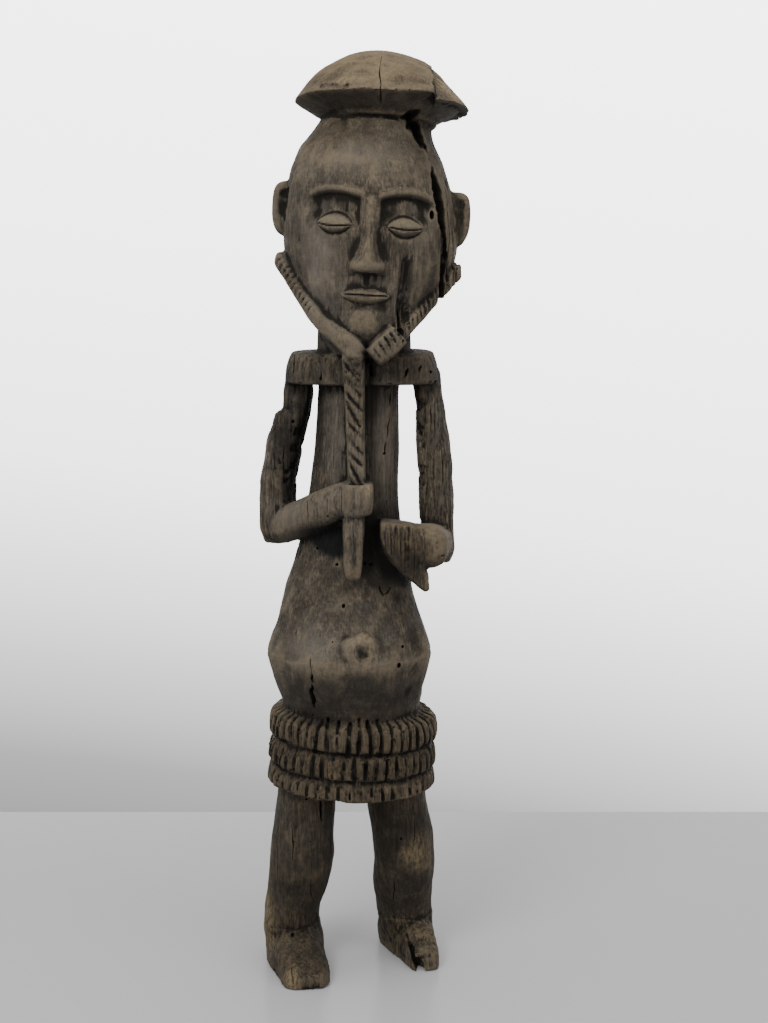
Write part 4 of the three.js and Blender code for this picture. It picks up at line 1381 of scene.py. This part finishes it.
noises = {  # scale, detail, roughness, stretch, distortion
    "broad": (390, 5, 0.62, (1, 1, 0.035), 0.15),
    "fine": (1150, 4, 0.65, (1, 1, 0.012), 0.1),
    "threads": (760, 4, 0.75, (1, 1, 0.14), 0.0),
    "chatter": (330, 3, 0.65, (0.2, 0.2, 1), 0.4),
    "bend": (14, 3, 0.6, None, 0.0),
    "blotch": (11, 6, 0.68, None, 0.0),
    "mottle": (48, 8, 0.72, None, 0.5),
    "speck": (260, 5, 0.7, None, 0.0),
    "patch": (17, 8, 0.72, (1, 1, 0.5), 0.6),
    "scratch": (520, 4, 0.68, (1, 1, 0.2), 0.5),
    "cloudy": (72, 6, 0.66, (1, 1, 0.6), 0.3),
    "flakes": (300, 7, 0.78, (1, 1, 0.4), 0.3),
}
# Rings about the log's middle, in metres away from it.
growth = {"heart": (0.03, 0.05, 0.0), "perMetre": 420.0, "bend": 5.0}
woodRamp = [
    (0.38, (0.011, 0.0082, 0.0052)), (0.64, (0.165, 0.131, 0.088)),
    (0.45, (0.034, 0.0265, 0.0178)), (0.51, (0.060, 0.047, 0.032)), (0.57, (0.100, 0.080, 0.054)),
]
# Colours laid over the wood; the darkest ones also paint shade and shadow, and the dust and pale
# ones also paint light and highlight.
tints = {
    "grey": (0.074, 0.067, 0.056), "darkPatch": (0.027, 0.021, 0.014),
    "lightPatch": (0.122, 0.099, 0.066), "darkMottle": (0.032, 0.024, 0.0155),
    "lightMottle": (0.118, 0.094, 0.063), "dust": (0.150, 0.118, 0.074),
    "pale": (0.150, 0.130, 0.106), "rubbed": (0.170, 0.134, 0.088),
    "ochre": (0.262, 0.205, 0.122), "soot": (0.0165, 0.0138, 0.0100),
    "black": (0.0030, 0.0027, 0.0024), "shadow": (0.0070, 0.0055, 0.0038),
    "warm": (1.08, 1.0, 0.84),
}
bumps = {  # strength, distance
    "furrows": (0.75, 0.0011), "fine": (0.8, 0.0007), "pores": (0.35, 0.0004),
    "speck": (0.5, 0.0007), "chatter": (0.55, 0.0009),
}


def dressWood():
    oldWood.use_nodes = True
    tree = oldWood.node_tree
    tree.nodes.clear()
    add = partial(step, tree)
    times, plus, less = (partial(reckon, add, kind) for kind in ("MULTIPLY", "ADD", "SUBTRACT"))
    fit = partial(mapped, add, kind="SMOOTHSTEP")
    here = add("ShaderNodeTexCoord").outputs["Object"]

    def felt(name):
        return add("ShaderNodeAttribute", attribute_name=name).outputs["Fac"]

    def stretched(*scale):
        return add("ShaderNodeMapping", {"Vector": here, "Scale": scale})

    def noise(scale, detail, rough, stretch, bend):
        size = {"Scale": scale, "Detail": detail, "Roughness": rough, "Distortion": bend}
        place = stretched(*stretch) if stretch else here
        return add("ShaderNodeTexNoise", {"Vector": place, **size}).outputs["Fac"]

    def mixed(share, a, b, kind="MIX"):
        inputs = {0: share, 6: a, 7: (*b, 1) if isinstance(b, tuple) else b}
        return add("ShaderNodeMix", inputs, data_type="RGBA", blend_type=kind).outputs[2]

    def heightOf(vector):
        return add("ShaderNodeSeparateXYZ", {0: vector}).outputs["Z"]

    made = {name: noise(*size) for name, size in noises.items()}
    broad, fine, mottle, patch = (made[name] for name in ("broad", "fine", "mottle", "patch"))
    heart = vector(add, "SUBTRACT", stretched(1, 1, 0.05), growth["heart"])
    away = add("ShaderNodeVectorMath", {0: heart}, operation="LENGTH").outputs["Value"]
    place = plus(times(away, growth["perMetre"]), times(made["bend"], growth["bend"]))
    ring = {"W": place, "Scale": 1.0, "Detail": 3.0}
    rings = add("ShaderNodeTexNoise", ring, noise_dimensions="1D").outputs["Fac"]
    streak = plus(times(broad, 0.5), plus(times(fine, 0.32), times(rings, 0.18)))
    calm = plus(times(made["cloudy"], 0.55), times(made["scratch"], 0.45))
    raw = fit(felt("rawGrain"), 0.12, 0.9, 0.18, 1.0)
    smooth, stringy = less(1.0, raw), plus(0.4, times(raw, 0.6))

    brown = add("ShaderNodeValToRGB", {"Fac": plus(calm, times(raw, less(streak, calm)))})
    ramp = brown.color_ramp.elements
    for i, (at, tint) in enumerate(woodRamp):
        stop = ramp[i] if i < 2 else ramp.new(at)
        stop.position, stop.color = at, (*tint, 1)
    # dust lies on what faces up and grows towards the top, which also paints in the light that
    # falls from above; rubbing shows on what stands proud
    facing = heightOf(add("ShaderNodeNewGeometry").outputs["Normal"])
    high = fit(heightOf(here), 0.02, 0.78, 0.12, 1.0)
    dusty = times(times(fit(facing, 0.15, 0.95), high), fit(mottle, 0.36, 0.62, 0.05, 0.5))
    # painted shade: hollows and sheltered places are darkened, less so at the spots that weaken it
    shadowed = add("ShaderNodeMath", {
        0: fit(felt("hollow"), 0.12, 0.75), 1: fit(felt("sheltered"), 0.24, 0.74),
    }, operation="MAXIMUM")
    shadowed = times(shadowed, fit(felt("clean"), 0.1, 0.9, 1.0, 0.35))
    colour = brown.outputs["Color"]
    for share, tint, *kind in (
        # random grey blotches, partly painted grey sheen
        (fit(made["blotch"], 0.42, 0.62, 0.0, 0.55), "grey"),
        (fit(patch, 0.50, 0.64, 0.0, 0.55), "darkPatch"),
        (fit(patch, 0.48, 0.36, 0.0, 0.5), "lightPatch"),
        (fit(mottle, 0.51, 0.66, 0.0, 0.5), "darkMottle"),
        (fit(mottle, 0.47, 0.34, 0.0, 0.4), "lightMottle"),
        (stringy, fit(made["threads"], 0.41, 0.59, 0.45, 1.62), "MULTIPLY"),
        (smooth, fit(made["chatter"], 0.36, 0.64, 0.82, 1.14), "MULTIPLY"),
        (dusty, "dust"),
        (times(felt("pale"), fit(mottle, 0.34, 0.6, 0.4, 1.0)), "pale"),
        (times(fit(felt("proud"), 0.18, 0.8), fit(made["speck"], 0.3, 0.7, 0.3, 0.8)), "rubbed"),
        (times(fit(felt("ochre"), 0.1, 0.8), fit(made["flakes"], 0.47, 0.54, 0.12)), "ochre"),
        (times(fit(felt("soot"), 0.05, 0.8), fit(mottle, 0.3, 0.62, 0.5, 0.95)), "soot"),
        # painted shade: what faces down is darkened
        (fit(facing, -0.1, -0.7, 0.0, 0.55), "soot"),
        (fit(felt("black"), 0.1, 0.85), "black"),
        (times(shadowed, 0.93), "shadow"),
        (felt("warm"), "warm", "MULTIPLY"),
    ):
        colour = mixed(share, colour, tints.get(tint, tint), *kind)

    gloss = less(fit(felt("polish"), 0.1, 0.9, 0.0, 0.38), times(shadowed, 0.15))
    pores = {"Vector": stretched(1, 1, 0.10), "Scale": 900.0}
    pits = add("ShaderNodeTexVoronoi", pores, feature="F1").outputs["Distance"]
    heights = {
        "furrows": times(fit(broad, 0.30, 0.60), raw), "fine": fine,
        "pores": fit(pits, 0.08, 0.30), "speck": made["speck"],
        "chatter": times(made["chatter"], smooth),
    }
    normal = {}
    for name, (strength, distance) in bumps.items():
        bump = {"Strength": strength, "Distance": distance, "Height": heights[name]}
        normal = {"Normal": add("ShaderNodeBump", {**bump, **normal})}
    shader = add("ShaderNodeBsdfPrincipled", {
        "Base Color": colour, "Roughness": less(fit(streak, 0.35, 0.65, 0.95, 0.76), gloss),
        "Specular IOR Level": 0.32, **normal,
    })
    add("ShaderNodeOutputMaterial", {0: shader})


# The making, in order.
def buildStatuette():
    wood = carveForms()
    cutMarks(wood)
    print("scene: tool marks cut")
    weather(wood)
    print("scene: weathered")
    damage(wood)
    scatteredMarks(wood)
    print("scene: split and holed,", len(wood.data.polygons), "faces")
    wood.data.calc_loop_triangles()
    worked(wood, "DECIMATE", ratio=min(1.0, faceBudget / len(wood.data.loop_triangles)))
    worked(wood, "TRIANGULATE")
    v = pointsOf(wood)
    v[:, 2] = np.maximum(v[:, 2], 0.0)
    movePoints(wood, v)
    feel(wood)
    stain(wood)
    dressWood()
    wood.name = wood.data.name = "statuetteCarving"
    wood.data.materials.clear()
    wood.data.materials.append(oldWood)
    wood.data.polygons.foreach_set("use_smooth", [True] * len(wood.data.polygons))
    wood.data.set_sharp_from_angle(angle=math.radians(55))
    print("scene: statuette done,", len(wood.data.polygons), "faces")
    return wood


wood = buildStatuette()
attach(wood, "root")
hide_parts("statuette")

# The camera, the floor and the light, in metres.
view = {"place": (0.0196, -1.591, 0.7036), "down": 9.5, "lens": 61.6}
floorSize = {"back": 0.425, "front": -3.2, "half": 3.2}
floorColour = (0.495, 0.493, 0.507, 1)
softboxes = [  # name, place, aim, width, height, watts
    ("keyLight", (-0.85, -1.45, 1.75), (0, 0, 0.62), 0.8, 0.8, 25),
    ("fillLight", (1.5, -1.1, 1.2), (0, 0, 0.55), 1.1, 1.3, 6.5),
    ("topLight", (0.15, -0.25, 2.2), (0, 0, 0.4), 0.9, 0.9, 13.5),
]
sheetRamp = [(0.07, 0.13), (0.18, 0.27), (0.28, 0.44), (0.40, 0.68), (0.62, 0.84)]


def addCamera():
    camera = linked("camera", bpy.data.cameras.new("camera"))
    camera.location = view["place"]
    camera.rotation_euler = (math.radians(90 - view["down"]), 0, 0)
    camera.data.lens = view["lens"]
    camera.data.sensor_width = 36
    bpy.context.scene.camera = camera


def addFloor():
    half, front, back = floorSize["half"], floorSize["front"], floorSize["back"]
    mesh = bpy.data.meshes.new("floor")
    corners = [(-half, front, 0), (half, front, 0), (half, back, 0), (-half, back, 0)]
    mesh.from_pydata(corners, [], [(0, 1, 2, 3)])
    paint = bpy.data.materials.new("paleFloor")
    paint.use_nodes = True
    shader = paint.node_tree.nodes["Principled BSDF"]
    shader.inputs["Base Color"].default_value = floorColour
    shader.inputs["Roughness"].default_value = 0.2
    mesh.materials.append(paint)
    linked("floor", mesh)


def addLights():
    for name, place, aim, width, height, watts in softboxes:
        lamp = bpy.data.lights.new(name, "AREA")
        lamp.shape, lamp.size, lamp.size_y, lamp.energy = "RECTANGLE", width, height, watts
        box = linked(name, lamp)
        box.location = place
        box.rotation_euler = (Vector(aim) - Vector(place)).to_track_quat("-Z", "Y").to_euler()


# A white sheet hangs behind the figure and greys towards the floor; the rest is dimmer.
def addRoom():
    world = bpy.data.worlds.new("room")
    bpy.context.scene.world = world
    world.use_nodes = True
    tree = world.node_tree
    add = partial(step, tree)
    way = add("ShaderNodeTexCoord").outputs["Generated"]
    way = add("ShaderNodeSeparateXYZ", {0: way}).outputs
    fit = partial(mapped, add)
    slope = reckon(add, "MULTIPLY", way["X"], 0.16)
    height = reckon(add, "ADD", way["Z"], slope)
    sheet = add("ShaderNodeValToRGB", {"Fac": fit(height, -0.36, 0.14)})
    ramp = sheet.color_ramp.elements
    ramp[0].color = (0.10, 0.10, 0.099, 1)
    ramp[1].color = (1.0, 0.99, 1.02, 1)
    for at, value in sheetRamp:
        ramp.new(at).color = (value, value, value * 1.012, 1)
    bright = add("ShaderNodeVectorMath", {0: sheet, "Scale": 5.0}, operation="SCALE")
    behind = fit(way["Y"], 0.62, 0.9, kind="SMOOTHSTEP")
    below = fit(way["Z"], 0.34, 0.15, kind="SMOOTHSTEP")
    share = reckon(add, "MULTIPLY", behind, below)
    dim = fit(way["Z"], -0.1, 0.9, 0.34, 0.85)
    both = add("ShaderNodeMix", {0: share, 6: dim, 7: bright}, data_type="RGBA")
    tree.links.new(both.outputs[2], tree.nodes["Background"].inputs[0])
    tree.nodes["Background"].inputs[1].default_value = 1.0


addCamera()
addFloor()
addLights()
addRoom()
